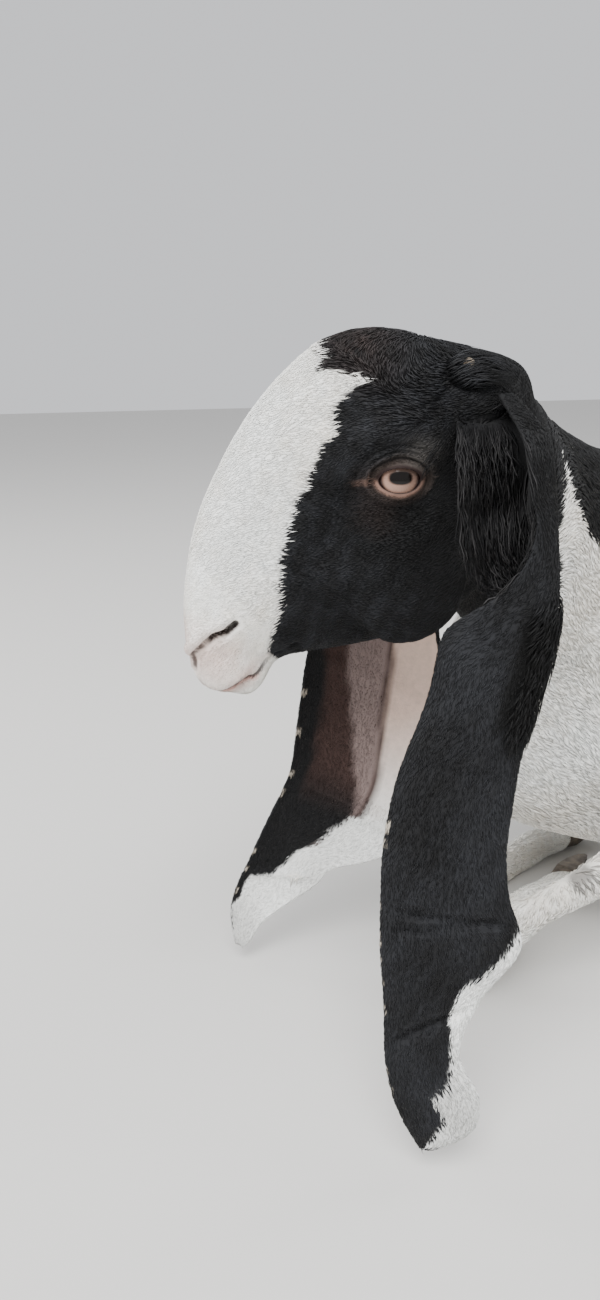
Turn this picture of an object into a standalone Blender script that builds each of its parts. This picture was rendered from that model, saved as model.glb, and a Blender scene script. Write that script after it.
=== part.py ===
"""Life-size jamunapari kid lying on its chest with its head up, in metres, +Z up.

The goat is designed with its chest line along X, facing +X, its left side at +Y
and the floor at z = 0. The flesh is modelled whole from lofts and tubes, fused,
sculpted, and then parted with thin cuts into head, neck, torso, tail and legs.
Ears, eyes, horn buds and claws are pieces of their own. At the end everything
moves so that the origin lies at the middle of the goat's footprint.
"""

import math
import random

import bmesh
import bpy
import numpy as np
from mathutils import Matrix, Vector

GAP = 0.0003
HALF_GAP = 0.00016
BODY_VOXEL = 0.0025
BODY_ROUNDS = 6
SLEEVE_VOXEL = 0.008
SLEEVE_ROUNDS = 2
HEAD_RINGS = 60
TORSO_RINGS = 70
TORSO_AROUND = 64
LIMB_STEP = 0.006
LIMB_CAP_TILTS = (75, 50, 25)
HEAD_TRIS = 4000
REST_TRIS = 3400
SLEEVE_TRIS = 360
CUT_MARGIN = 0.010
SEED = 7

# The head's own frame: X runs down the nose, Z out of the forehead, Y to the left.
POLL = Vector((0.360, 0.080, 0.370))
HEAD_YAW = math.radians(-20)
HEAD_PITCH = math.radians(45)
HEAD_FRAME = (
    Matrix.Translation(POLL)
    @ Matrix.Rotation(HEAD_YAW, 4, "Z")
    @ Matrix.Rotation(HEAD_PITCH, 4, "Y")
)
HEAD_AHEAD = Vector((math.cos(HEAD_YAW), math.sin(HEAD_YAW), 0))

# Rows: place along the head, top, bottom, half width, height of the widest line.
HEAD_ROWS = (
    (-0.0125, -0.022, -0.036, 0.012, -0.026),
    (-0.0060, -0.011, -0.043, 0.023, -0.024),
    (0.0050, 0.004, -0.050, 0.028, -0.021),
    (0.0200, 0.0285, -0.062, 0.035, -0.014),
    (0.0450, 0.0465, -0.080, 0.040, -0.012),
    (0.0700, 0.0500, -0.090, 0.042, -0.018),
    (0.0950, 0.0480, -0.089, 0.038, -0.022),
    (0.1200, 0.0417, -0.0780, 0.0325, -0.020),
    (0.1450, 0.0322, -0.0610, 0.0275, -0.017),
    (0.1650, 0.0200, -0.0465, 0.0240, -0.015),
    (0.1760, 0.0115, -0.0435, 0.0220, -0.014),
    (0.1860, 0.0020, -0.0445, 0.0195, -0.016),
    (0.1935, -0.0085, -0.0425, 0.0165, -0.022),
    (0.1990, -0.0155, -0.0365, 0.0120, -0.026),
    (0.2020, -0.0205, -0.0315, 0.0060, -0.026),
)
HEAD_TOP_POWER = 2.2
HEAD_UNDER_POWER = 1.75

EYE_RADIUS = 0.0125
EYE_CENTRE = (0.067, 0.0330, -0.0155)
LID_COVER = 0.0022
LID_SLIT_LONG = 0.0182
LID_SLIT_HIGH = 0.0104
LID_SLIT_TURN = math.radians(45)

# Rounded forms added to the head's loft, at the eyes, jaws, nostrils, lips, chin and
# horn buds: centre, radii, turn about the side axis in degrees.
HEAD_FORMS = (
    ((0.062, 0.034, -0.008), (0.026, 0.013, 0.023), 0.0),
    ((0.092, 0.026, -0.052), (0.036, 0.013, 0.030), 35.0),
    ((0.1800, 0.0125, -0.0100), (0.0135, 0.0095, 0.0125), 30.0),
    ((0.1845, 0.0100, -0.0260), (0.0155, 0.0115, 0.0125), 25.0),
    ((0.1800, 0.0000, -0.0400), (0.0150, 0.0135, 0.0080), 18.0),
    ((0.018, 0.0300, -0.020), (0.016, 0.012, 0.015), 0.0),
)

# Strokes pressed into or raised from the head: points, radius and height.
HEAD_STROKES = (
    ("brow ridge", ((0.082, 0.036, 0.010), (0.064, 0.042, 0.009), (0.047, 0.041, -0.002),
                    (0.039, 0.039, -0.018)), 0.017, 0.0036),
    ("hollow before the eye", ((0.088, 0.036, -0.010), (0.104, 0.031, -0.016)),
     0.018, -0.0030),
    ("hollow under the eye", ((0.084, 0.040, -0.024), (0.068, 0.042, -0.034)), 0.012, -0.0018),
    ("hollow of the temple", ((0.036, 0.040, -0.022), (0.050, 0.038, -0.038)), 0.014, -0.0022),
    ("cheek bone", ((0.052, 0.040, -0.044), (0.082, 0.038, -0.040), (0.118, 0.030, -0.031)),
     0.014, 0.0026),
    ("side of the nose", ((0.110, 0.028, 0.012), (0.145, 0.024, 0.004)), 0.014, -0.0016),
    ("upper lid", ((0.076, 0.044, -0.006), (0.066, 0.047, -0.006), (0.058, 0.046, -0.013),
                   (0.056, 0.044, -0.022)), 0.0042, 0.0013),
    ("lower lid", ((0.077, 0.043, -0.009), (0.076, 0.045, -0.018), (0.068, 0.045, -0.025),
                   (0.059, 0.043, -0.026)), 0.0042, 0.0011),
    ("fold over the lid", ((0.080, 0.042, 0.000), (0.066, 0.045, 0.002),
                           (0.053, 0.044, -0.008)), 0.0035, -0.0012),
    ("nostril rim", ((0.170, 0.021, -0.007), (0.182, 0.020, -0.005), (0.192, 0.015, -0.008)),
     0.0055, 0.0012),
    ("groove from nostril to lip", ((0.176, 0.022, -0.0128), (0.186, 0.0205, -0.0118),
                                    (0.196, 0.014, -0.0125)), 0.0034, -0.0020),
    ("line of the mouth", ((0.2020, 0.000, -0.0290), (0.1975, 0.009, -0.0312),
                           (0.192, 0.0135, -0.0345), (0.1845, 0.0160, -0.0393),
                           (0.177, 0.0180, -0.0430), (0.168, 0.0190, -0.0445),
                           (0.155, 0.020, -0.0430)),
     0.0036, -0.0028),
    ("upper lip", ((0.195, 0.012, -0.0270), (0.184, 0.018, -0.0345), (0.168, 0.020, -0.0375)),
     0.0070, 0.0012),
    ("split of the upper lip", ((0.198, 0.000, -0.0140), (0.202, 0.000, -0.0270)),
     0.0032, -0.0018),
    ("jaw edge", ((0.160, 0.016, -0.046), (0.125, 0.022, -0.070), (0.090, 0.026, -0.082)),
     0.010, 0.0012),
)
# A nostril's cut: its path inwards, and its half height and half length there.
NOSTRIL_PATH = ((0.1650, 0.0270, -0.0125), (0.1705, 0.0190, -0.0120),
                (0.1765, 0.0130, -0.0125))
NOSTRIL_WIDTHS = ((0.0034, 0.0022), (0.0036, 0.0020), (0.0026, 0.0016))

# Rows along the trunk: x, half width, top, bottom.
TORSO_ROWS = (
    (-0.302, 0.016, 0.200, 0.140),
    (-0.294, 0.044, 0.226, 0.086),
    (-0.272, 0.068, 0.248, 0.046),
    (-0.230, 0.085, 0.265, 0.020),
    (-0.160, 0.096, 0.272, 0.003),
    (-0.080, 0.105, 0.272, -0.005),
    (0.000, 0.104, 0.277, -0.006),
    (0.060, 0.095, 0.287, -0.004),
    (0.110, 0.085, 0.298, 0.006),
    (0.150, 0.080, 0.300, 0.024),
    (0.190, 0.075, 0.292, 0.044),
    (0.235, 0.067, 0.272, 0.062),
    (0.270, 0.055, 0.242, 0.080),
    (0.296, 0.038, 0.215, 0.108),
    (0.311, 0.016, 0.190, 0.140),
)
TORSO_WIDEST = 0.42
TORSO_TOP_POWER = 1.85
TORSO_UNDER_POWER = 2.4

# Strokes of the trunk, on both sides: points, radius and height.
BODY_STROKES = (
    ("hollow of the flank", ((-0.125, 0.088, 0.212), (-0.180, 0.084, 0.222)), 0.036, -0.0055),
    ("hip bone", ((-0.212, 0.060, 0.246), (-0.234, 0.055, 0.248)), 0.024, 0.0065),
    ("pin bone", ((-0.284, 0.032, 0.212), (-0.292, 0.030, 0.196)), 0.020, 0.0055),
    ("shoulder blade", ((0.152, 0.050, 0.288), (0.188, 0.068, 0.222)), 0.026, 0.0035),
    ("hollow behind the shoulder", ((0.108, 0.078, 0.222), (0.104, 0.092, 0.130)), 0.032, -0.0045),
    ("groove of the neck", ((0.330, 0.098, 0.292), (0.262, 0.062, 0.225)), 0.016, -0.0025),
)

# Rows of a limb: centre, half width across, half height.
NECK_ROWS = (
    ((0.120, 0.000, 0.205), 0.060, 0.092),
    ((0.190, 0.004, 0.218), 0.060, 0.090),
    ((0.240, 0.014, 0.240), 0.052, 0.080),
    ((0.285, 0.036, 0.268), 0.044, 0.066),
    ((0.320, 0.056, 0.292), 0.038, 0.055),
    ((0.352, 0.074, 0.314), 0.034, 0.046),
    ((0.378, 0.076, 0.322), 0.026, 0.034),
)
UPPER_ARM_ROWS = (
    ((0.190, 0.055, 0.215), 0.022, 0.045),
    ((0.222, 0.070, 0.160), 0.026, 0.040),
    ((0.200, 0.088, 0.122), 0.024, 0.030),
)
FOREARM_ROWS = {
    "left": (
        ((0.176, 0.103, 0.124), 0.020, 0.023),
        ((0.204, 0.102, 0.108), 0.021, 0.023),
        ((0.232, 0.097, 0.090), 0.018, 0.018),
        ((0.260, 0.088, 0.073), 0.0145, 0.0150),
        ((0.300, 0.070, 0.046), 0.0125, 0.0135),
        ((0.325, 0.058, 0.026), 0.0155, 0.0165),
        ((0.336, 0.053, 0.018), 0.0140, 0.0150),
    ),
    "right": (
        ((0.178, -0.080, 0.130), 0.021, 0.025),
        ((0.208, -0.060, 0.112), 0.023, 0.026),
        ((0.240, -0.036, 0.078), 0.0180, 0.0200),
        ((0.264, -0.022, 0.044), 0.0125, 0.0135),
        ((0.280, -0.015, 0.025), 0.0150, 0.0155),
        ((0.288, -0.012, 0.018), 0.0140, 0.0145),
    ),
}
CANNON_ROWS = {
    "left": (
        ((0.334, 0.053, 0.016), 0.0145, 0.0150),
        ((0.312, 0.041, 0.0125), 0.0110, 0.0135),
        ((0.272, 0.024, 0.0110), 0.0095, 0.0120),
        ((0.242, 0.013, 0.0125), 0.0120, 0.0140),
        ((0.226, 0.008, 0.0120), 0.0115, 0.0125),
        ((0.211, 0.004, 0.0115), 0.0140, 0.0125),
        ((0.202, 0.001, 0.0110), 0.0120, 0.0100),
    ),
    "right": (
        ((0.287, -0.013, 0.016), 0.0145, 0.0150),
        ((0.264, -0.023, 0.0125), 0.0110, 0.0135),
        ((0.224, -0.040, 0.0110), 0.0095, 0.0120),
        ((0.195, -0.051, 0.0125), 0.0120, 0.0140),
        ((0.180, -0.056, 0.0120), 0.0115, 0.0125),
        ((0.166, -0.060, 0.0115), 0.0140, 0.0125),
        ((0.157, -0.063, 0.0110), 0.0120, 0.0100),
    ),
}
THIGH_ROWS = (
    ((-0.235, 0.037, 0.1900), 0.036, 0.050),
    ((-0.190, 0.062, 0.1540), 0.041, 0.062),
    ((-0.135, 0.086, 0.1140), 0.042, 0.058),
    ((-0.090, 0.105, 0.0860), 0.034, 0.044),
    ((-0.066, 0.110, 0.0780), 0.020, 0.026),
)
GASKIN_ROWS = (
    ((-0.078, 0.109, 0.0860), 0.030, 0.036),
    ((-0.140, 0.116, 0.0680), 0.026, 0.034),
    ((-0.212, 0.117, 0.0450), 0.0165, 0.0220),
    ((-0.262, 0.115, 0.0320), 0.0130, 0.0205),
    ((-0.286, 0.114, 0.0280), 0.0110, 0.0150),
)
SHANK_ROWS = (
    ((-0.276, 0.115, 0.0200), 0.0135, 0.0170),
    ((-0.246, 0.119, 0.0150), 0.0130, 0.0165),
    ((-0.195, 0.128, 0.0115), 0.0100, 0.0125),
    ((-0.155, 0.135, 0.0130), 0.0130, 0.0145),
    ((-0.138, 0.138, 0.0125), 0.0120, 0.0130),
    ((-0.121, 0.141, 0.0120), 0.0145, 0.0130),
    ((-0.110, 0.143, 0.0115), 0.0125, 0.0105),
)
TAIL_ROWS = (
    ((-0.275, 0.000, 0.2240), 0.018, 0.020),
    ((-0.300, 0.000, 0.2300), 0.017, 0.017),
    ((-0.325, 0.003, 0.2280), 0.014, 0.011),
    ((-0.350, 0.008, 0.2140), 0.011, 0.008),
    ((-0.366, 0.012, 0.1940), 0.007, 0.005),
)
# How much wider than the legs the sleeves are that cut them out of the trunk.
SLEEVE_EXTRA = 0.009

# The right hind leg mirrors the left one, moved by these few millimetres.
HIND_RIGHT_SHIFT = (0.012, 0.006, 0.000)

# The junctions are smoothed this often, but not on the face, round a place of the
# head's own frame, and not on the feet.
BLEND_ROUNDS = 40
FACE_REAR = 0.045
FACE_MIDDLE = (0.09, 0, -0.02)
FACE_REACH = 0.115
FACE_FADE = 0.035
FEET_HEIGHT = 0.02
FEET_FADE = 0.05

# Cuts that part the flesh: a point and the way across each cut.
NECK_CUT = (Vector((0.317, 0.088, 0.330)), Vector((0.966, -0.050, 0.250)).normalized())
CHEST_CUT = (Vector((0.250, 0.020, 0.252)), Vector((0.72, 0.08, 0.69)).normalized())
TAIL_CUT = (Vector((-0.306, 0.000, 0.228)), Vector((-0.97, 0.00, 0.20)).normalized())

# An ear is an arc swept down its front edge. Rows: share of the length, then
# half depth from front to rear, half thickness of the curl, and the angles of
# both rims, from the front edge at 0 over the outer side at 90 to the rear.
NEAR_EAR_ROWS = (
    (0.00, 0.0150, 0.0150, 118, 300),
    (0.05, 0.0185, 0.0170, 112, 325),
    (0.12, 0.0195, 0.0175, 112, 336),
    (0.19, 0.0205, 0.0165, 116, 330),
    (0.25, 0.0215, 0.0145, 84, 300),
    (0.31, 0.0230, 0.0125, 10, 250),
    (0.39, 0.0230, 0.0100, 2, 212),
    (0.52, 0.0260, 0.0075, 5, 186),
    (0.64, 0.0280, 0.0065, 8, 172),
    (0.71, 0.0315, 0.0060, 8, 170),
    (0.79, 0.0215, 0.0052, 8, 172),
    (0.86, 0.0165, 0.0045, 8, 172),
    (0.93, 0.0185, 0.0040, 8, 172),
    (0.975, 0.0130, 0.0030, 8, 172),
    (1.00, 0.0035, 0.0015, 8, 172),
)
FAR_EAR_ROWS = (
    (0.00, 0.0150, 0.0150, 60, 300),
    (0.05, 0.0185, 0.0170, 70, 325),
    (0.12, 0.0200, 0.0175, 75, 320),
    (0.19, 0.0215, 0.0165, 60, 290),
    (0.25, 0.0235, 0.0155, 35, 250),
    (0.31, 0.0270, 0.0150, 12, 222),
    (0.39, 0.0345, 0.0145, 6, 198),
    (0.46, 0.0385, 0.0130, 6, 186),
    (0.56, 0.0400, 0.0115, 6, 180),
    (0.64, 0.0390, 0.0098, 8, 175),
    (0.70, 0.0345, 0.0080, 8, 173),
    (0.74, 0.0275, 0.0070, 8, 172),
    (0.77, 0.0215, 0.0063, 8, 172),
    (0.80, 0.0200, 0.0057, 8, 172),
    (0.86, 0.0150, 0.0045, 8, 172),
    (0.93, 0.0085, 0.0034, 8, 172),
    (0.975, 0.0050, 0.0024, 8, 172),
    (1.00, 0.0022, 0.0014, 8, 172),
)
EAR_FORE = Vector((0.902, -0.431, 0.0))
EAR_THICKNESS = 0.0032
EAR_STEPS_DOWN = 24
EAR_STEPS_ROUND = 8
EAR_SLANT_FROM = 0.25
EAR_SLANT_TO = 0.62
NEAR_EAR_EDGE = (
    (0.00, 0.384, 0.100, 0.347),
    (0.05, 0.3945, 0.1250, 0.333),
    (0.15, 0.3950, 0.1320, 0.305),
    (0.27, 0.4000, 0.1370, 0.264),
    (0.39, 0.4110, 0.1390, 0.222),
    (0.52, 0.4270, 0.1385, 0.178),
    (0.65, 0.4340, 0.1430, 0.133),
    (0.79, 0.4350, 0.1500, 0.086),
    (0.93, 0.4320, 0.1590, 0.038),
    (1.00, 0.4230, 0.1660, 0.0145),
)
FAR_EAR_EDGE = (
    (0.00, 0.3610, 0.0400, 0.347),
    (0.05, 0.3580, 0.0200, 0.333),
    (0.15, 0.3680, 0.0080, 0.308),
    (0.27, 0.3830, 0.0020, 0.266),
    (0.39, 0.3950, -0.0030, 0.224),
    (0.52, 0.4030, -0.0060, 0.178),
    (0.65, 0.4090, -0.0090, 0.128),
    (0.79, 0.4280, -0.0180, 0.079),
    (0.93, 0.4410, -0.0245, 0.036),
    (1.00, 0.4390, -0.0235, 0.0140),
)

EARS = {
    "ear_left": (NEAR_EAR_EDGE, NEAR_EAR_ROWS, (0.431, 0.902, 0.0), 0.0),
    "ear_right": (FAR_EAR_EDGE, FAR_EAR_ROWS, (-0.431, -0.902, 0.0), 0.48),
}

# A horn bud: where it grows, its way out of the crown, its size, and the share of
# its radius left at shares of its height.
HORN_FOOT = (0.0125, 0.0325, -0.0045)
HORN_AIM = (-0.45, 0.55, 0.70)
HORN_RADIUS = 0.0040
HORN_LENGTH = 0.0050
HORN_SUNK = 0.006
HORN_PROFILE = ((0.0, 1.0), (0.45, 0.95), (0.75, 0.74), (0.92, 0.45), (1.0, 0.16))
HORN_SIDES = 8

# Rows of one claw from its crown to its toe: reach, half width, top, sole.
CLAW_ROWS = (
    (-0.006, 0.0052, 0.0080, -0.0060),
    (0.004, 0.0064, 0.0095, -0.0085),
    (0.015, 0.0062, 0.0070, -0.0085),
    (0.027, 0.0038, -0.0010, -0.0082),
    (0.032, 0.0012, -0.0058, -0.0076),
)
# The arch of a claw from one side of its sole to the other, as shares of its size.
CLAW_ARCH = ((-1.0, 0.0), (-1.0, 0.45), (-0.55, 0.9), (0.0, 1.0),
             (0.55, 0.9), (1.0, 0.45), (1.0, 0.0))
CLAW_SPREAD = 0.0072
CLAW_TOE_OUT = math.radians(4)
CLAW_AHEAD = 0.004
CLAW_CROWN_HEIGHT = 0.0100

# Locks of the tail: how many, their length, the stretch of the tail that they grow
# on, the turn from one to the next and their droop at the tip. Rows of one lock:
# share of its length, height over the tail, half width and half thickness.
TAIL_LOCKS = 7
TAIL_LOCK_LENGTH = 0.055
TAIL_LOCKS_FROM = 0.38
TAIL_LOCKS_TO = 0.93
TAIL_LOCK_TURN = 2.4
TAIL_LOCK_DROOP = 0.006
TAIL_LOCK_ROWS = (
    (0.00, 0.0000, 0.0045, 0.0022),
    (0.35, 0.0075, 0.0060, 0.0024),
    (0.70, 0.0090, 0.0045, 0.0018),
    (1.00, 0.0065, 0.0010, 0.0008),
)

COAT_BLACK = (0.012, 0.012, 0.014, 1.0)
COAT_WHITE = (0.72, 0.71, 0.68, 1.0)
EYE_TAN = (0.30, 0.19, 0.12, 1.0)
HORN_GREY = (0.16, 0.15, 0.13, 1.0)


def clear_scene():
    """Start from an empty scene."""
    for obj in list(bpy.data.objects):
        bpy.data.objects.remove(obj, do_unlink=True)


def new_collection(name):
    """A collection in the scene."""
    group = bpy.data.collections.new(name)
    bpy.context.scene.collection.children.link(group)
    return group


def new_mesh_object(name, points, faces, group):
    """An object made from points and faces."""
    mesh = bpy.data.meshes.new(name)
    mesh.from_pydata([tuple(p) for p in points], [], [tuple(f) for f in faces])
    mesh.validate()
    obj = bpy.data.objects.new(name, mesh)
    group.objects.link(obj)
    return obj


def copy_object(obj, name, group):
    """A second object with its own copy of the mesh."""
    twin = bpy.data.objects.new(name, obj.data.copy())
    group.objects.link(twin)
    return twin


def apply_modifiers(obj):
    """Keep what the modifiers make as the object's mesh."""
    graph = bpy.context.evaluated_depsgraph_get()
    mesh = bpy.data.meshes.new_from_object(obj.evaluated_get(graph))
    obj.modifiers.clear()
    old = obj.data
    obj.data = mesh
    bpy.data.meshes.remove(old)


def smooth_rows(keys, rows, at):
    """Rows read at new keys along a smooth curve through the given ones."""
    keys = np.asarray(keys, float)
    rows = np.asarray(rows, float)
    at = np.asarray(at, float)
    slopes = np.gradient(rows, keys, axis=0)
    place = np.clip(np.searchsorted(keys, at, side="right") - 1, 0, len(keys) - 2)
    span = (keys[place + 1] - keys[place])[:, None]
    t = ((at - keys[place])[:, None]) / span
    start, end = rows[place], rows[place + 1]
    rise, fall = slopes[place] * span, slopes[place + 1] * span
    return (
        (2 * t**3 - 3 * t**2 + 1) * start
        + (t**3 - 2 * t**2 + t) * rise
        + (3 * t**2 - 2 * t**3) * end
        + (t**3 - t**2) * fall
    )


def skin_rings(name, rings, group):
    """A closed tube over rings of points, with a flat face at each end."""
    count, around = len(rings), len(rings[0])
    points = [point for ring in rings for point in ring]
    faces = [tuple(reversed(range(around)))]
    for i in range(count - 1):
        for j in range(around):
            k = (j + 1) % around
            faces.append((i * around + j, i * around + k,
                          (i + 1) * around + k, (i + 1) * around + j))
    faces.append(tuple(range((count - 1) * around, count * around)))
    obj = new_mesh_object(name, points, faces, group)
    face_outward(obj.data)
    return obj


def face_outward(mesh):
    """Turn all faces out."""
    bm = bmesh.new()
    bm.from_mesh(mesh)
    bmesh.ops.recalc_face_normals(bm, faces=bm.faces)
    bm.to_mesh(mesh)
    bm.free()


def egg_section(half_width, top, bottom, middle, top_power, under_power, around=40):
    """Points (side, height) of a section that is fuller or sharper above and below."""
    angles = np.linspace(0, 2 * math.pi, around, endpoint=False)
    power = np.where(np.sin(angles) >= 0, top_power, under_power)
    side = np.sign(np.cos(angles)) * np.abs(np.cos(angles)) ** (2 / power)
    lift = np.abs(np.sin(angles)) ** (2 / power)
    height = np.where(np.sin(angles) >= 0, middle + (top - middle) * lift,
                      middle - (middle - bottom) * lift)
    return half_width * side, height


def lofted_head(group):
    """The head's main form in its own frame."""
    rows = np.array(HEAD_ROWS)
    at = np.linspace(rows[0, 0], rows[-1, 0], HEAD_RINGS)
    rings = []
    for reach, row in zip(at, smooth_rows(rows[:, 0], rows[:, 1:], at)):
        top, bottom, half_width, middle = row
        side, height = egg_section(half_width, top, bottom, middle,
                                   HEAD_TOP_POWER, HEAD_UNDER_POWER)
        rings.append([HEAD_FRAME @ Vector((reach, y, z)) for y, z in zip(side, height)])
    return skin_rings("head_loft", rings, group)


def lofted_torso(group):
    """The trunk's main form."""
    rows = np.array(TORSO_ROWS)
    at = np.linspace(rows[0, 0], rows[-1, 0], TORSO_RINGS)
    rings = []
    for x, row in zip(at, smooth_rows(rows[:, 0], rows[:, 1:], at)):
        half_width, top, bottom = row
        middle = bottom + TORSO_WIDEST * (top - bottom)
        side, height = egg_section(half_width, top, bottom, middle,
                                   TORSO_TOP_POWER, TORSO_UNDER_POWER, TORSO_AROUND)
        rings.append([Vector((x, y, z)) for y, z in zip(side, height)])
    return skin_rings("torso_loft", rings, group)


def limb(name, rows, group, extra=0.0, around=24):
    """A tube with round ends over rows of centre, half width and half height."""
    centres = np.array([centre for centre, _, _ in rows])
    sizes = np.array([(w, h) for _, w, h in rows]) + extra
    steps = np.r_[0, np.cumsum(np.linalg.norm(np.diff(centres, axis=0), axis=1))]
    at = np.linspace(0, steps[-1], max(12, int(steps[-1] / LIMB_STEP)))
    path = smooth_rows(steps, centres, at)
    size = smooth_rows(steps, sizes, at)
    tangents = np.gradient(path, axis=0)
    tangents /= np.linalg.norm(tangents, axis=1)[:, None]
    rings = []
    angles = np.linspace(0, 2 * math.pi, around, endpoint=False)

    def ring(centre, tangent, half_width, half_height):
        across = np.cross((0, 0, 1), tangent)
        across /= np.linalg.norm(across)
        over = np.cross(tangent, across)
        return [Vector(centre + across * half_width * math.cos(a) + over * half_height * math.sin(a))
                for a in angles]

    for end, sign in ((0, -1), (-1, 1)):
        cap = []
        for tilt in LIMB_CAP_TILTS:
            t = math.radians(tilt)
            reach = size[end].mean() * math.sin(t)
            cap.append(ring(path[end] + sign * tangents[end] * reach, tangents[end],
                            size[end][0] * math.cos(t), size[end][1] * math.cos(t)))
        if end == 0:
            rings = cap
            rings += [ring(p, t, s[0], s[1]) for p, t, s in zip(path, tangents, size)]
        else:
            rings += cap[::-1]
    return skin_rings(name, rings, group)


def ellipsoid(name, centre, radii, frame, group, turn=0.0):
    """A ball stretched along the axes of a frame."""
    mesh = bpy.data.meshes.new(name)
    bm = bmesh.new()
    bmesh.ops.create_icosphere(bm, subdivisions=3, radius=1)
    place = (frame @ Matrix.Translation(centre)
             @ Matrix.Rotation(math.radians(turn), 4, "Y") @ Matrix.Diagonal((*radii, 1)))
    bmesh.ops.transform(bm, matrix=place, verts=bm.verts)
    bm.to_mesh(mesh)
    bm.free()
    obj = bpy.data.objects.new(name, mesh)
    group.objects.link(obj)
    return obj


def joined(name, pieces, group):
    """One object holding the meshes of the pieces, which are removed."""
    bm = bmesh.new()
    for piece in pieces:
        bm.from_mesh(piece.data)
        bpy.data.objects.remove(piece, do_unlink=True)
    mesh = bpy.data.meshes.new(name)
    bm.to_mesh(mesh)
    bm.free()
    obj = bpy.data.objects.new(name, mesh)
    group.objects.link(obj)
    return obj


def fused(name, pieces, group, voxel, rounds):
    """The pieces as one skin, with their junctions smoothed."""
    obj = joined(name, pieces, group)
    remesh = obj.modifiers.new("fuse", "REMESH")
    remesh.mode = "VOXEL"
    remesh.voxel_size = voxel
    soft = obj.modifiers.new("soften", "SMOOTH")
    soft.factor = 0.5
    soft.iterations = rounds
    apply_modifiers(obj)
    return obj


def simplified(obj, triangles):
    """Fewer triangles, spent where the form bends."""
    faces = sum(len(p.vertices) - 2 for p in obj.data.polygons)
    thin = obj.modifiers.new("simplify", "DECIMATE")
    thin.ratio = min(1.0, triangles / faces)
    thin.use_collapse_triangulate = True
    apply_modifiers(obj)
    return obj


def mesh_points(mesh):
    """Vertex places and normals as arrays."""
    places = np.empty(len(mesh.vertices) * 3)
    mesh.vertices.foreach_get("co", places)
    normals = np.empty(len(mesh.vertices) * 3)
    mesh.vertices.foreach_get("normal", normals)
    return places.reshape(-1, 3), normals.reshape(-1, 3)


def stroke_weight(points, path, radius):
    """How strongly a round brush drawn along a path touches each point."""
    nearest = np.full(len(points), np.inf)
    path = np.array(path)
    for start, end in zip(path[:-1], path[1:]):
        along = end - start
        share = np.clip((points - start) @ along / (along @ along), 0, 1)
        distance = np.linalg.norm(points - start - share[:, None] * along, axis=1)
        nearest = np.minimum(nearest, distance)
    return np.clip(1 - (nearest / radius) ** 2, 0, None) ** 2


def head_local(places):
    """Places in the head's own frame, folded onto its left side."""
    inverse = np.array(HEAD_FRAME.inverted())
    local = places @ inverse[:3, :3].T + inverse[:3, 3]
    local[:, 1] = np.abs(local[:, 1])
    return local


def sculpt(obj):
    """Draw the strokes of the head and the trunk on both sides."""
    places, normals = mesh_points(obj.data)
    folded = np.column_stack([places[:, 0], np.abs(places[:, 1]), places[:, 2]])
    push = np.zeros(len(places))
    for _, path, radius, height in HEAD_STROKES:
        push += height * stroke_weight(head_local(places), path, radius)
    for _, path, radius, height in BODY_STROKES:
        push += height * stroke_weight(folded, path, radius)
    places += normals * push[:, None]
    obj.data.vertices.foreach_set("co", places.ravel())
    obj.data.update()


def split(obj, point, normal, keep_ahead):
    """Keep one side of a plane and close the cut with a flat face."""
    bm = bmesh.new()
    bm.from_mesh(obj.data)
    bmesh.ops.bisect_plane(bm, geom=bm.verts[:] + bm.edges[:] + bm.faces[:], dist=1e-6,
                           plane_co=point, plane_no=normal,
                           clear_outer=not keep_ahead, clear_inner=keep_ahead)
    rim = [edge for edge in bm.edges if edge.is_boundary]
    if rim:
        bmesh.ops.triangle_fill(bm, use_beauty=True, use_dissolve=False, edges=rim)
    bmesh.ops.recalc_face_normals(bm, faces=bm.faces)
    bm.to_mesh(obj.data)
    bm.free()
    return obj


def largest_body(obj):
    """Keep the largest closed surface of an object."""
    bm = bmesh.new()
    bm.from_mesh(obj.data)
    left = set(bm.verts)
    best, best_volume = None, -1.0
    while left:
        seed = left.pop()
        body, edge_of_body = {seed}, [seed]
        while edge_of_body:
            vertex = edge_of_body.pop()
            for edge in vertex.link_edges:
                other = edge.other_vert(vertex)
                if other not in body:
                    body.add(other)
                    edge_of_body.append(other)
        left -= body
        faces = {face for vertex in body for face in vertex.link_faces}
        volume = sum(signed_volume(face) for face in faces)
        if volume > best_volume:
            best, best_volume = body, volume
    bmesh.ops.delete(bm, geom=[v for v in bm.verts if v not in best], context="VERTS")
    bmesh.ops.triangulate(bm, faces=bm.faces)
    bm.to_mesh(obj.data)
    bm.free()
    return obj


def flat_below(obj):
    """Cut off what lies under the floor and keep the largest body."""
    split(obj, Vector((0, 0, 0)), Vector((0, 0, 1)), True)
    return largest_body(obj)


def signed_volume(face):
    """Volume between a face and the origin."""
    corners = [vertex.co for vertex in face.verts]
    return sum(corners[0].dot(corners[i].cross(corners[i + 1])) / 6
               for i in range(1, len(corners) - 1))


def swollen(obj, name, distance, group):
    """A copy whose surface lies further out by a distance."""
    twin = copy_object(obj, name, group)
    places, normals = mesh_points(twin.data)
    twin.data.vertices.foreach_set("co", (places + normals * distance).ravel())
    twin.data.update()
    return twin


def combined(obj, cutter, operation):
    """One Boolean step between two closed meshes."""
    step = obj.modifiers.new("combine", "BOOLEAN")
    step.operation = operation
    step.object = cutter
    step.solver = "EXACT"
    apply_modifiers(obj)
    return obj


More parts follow.
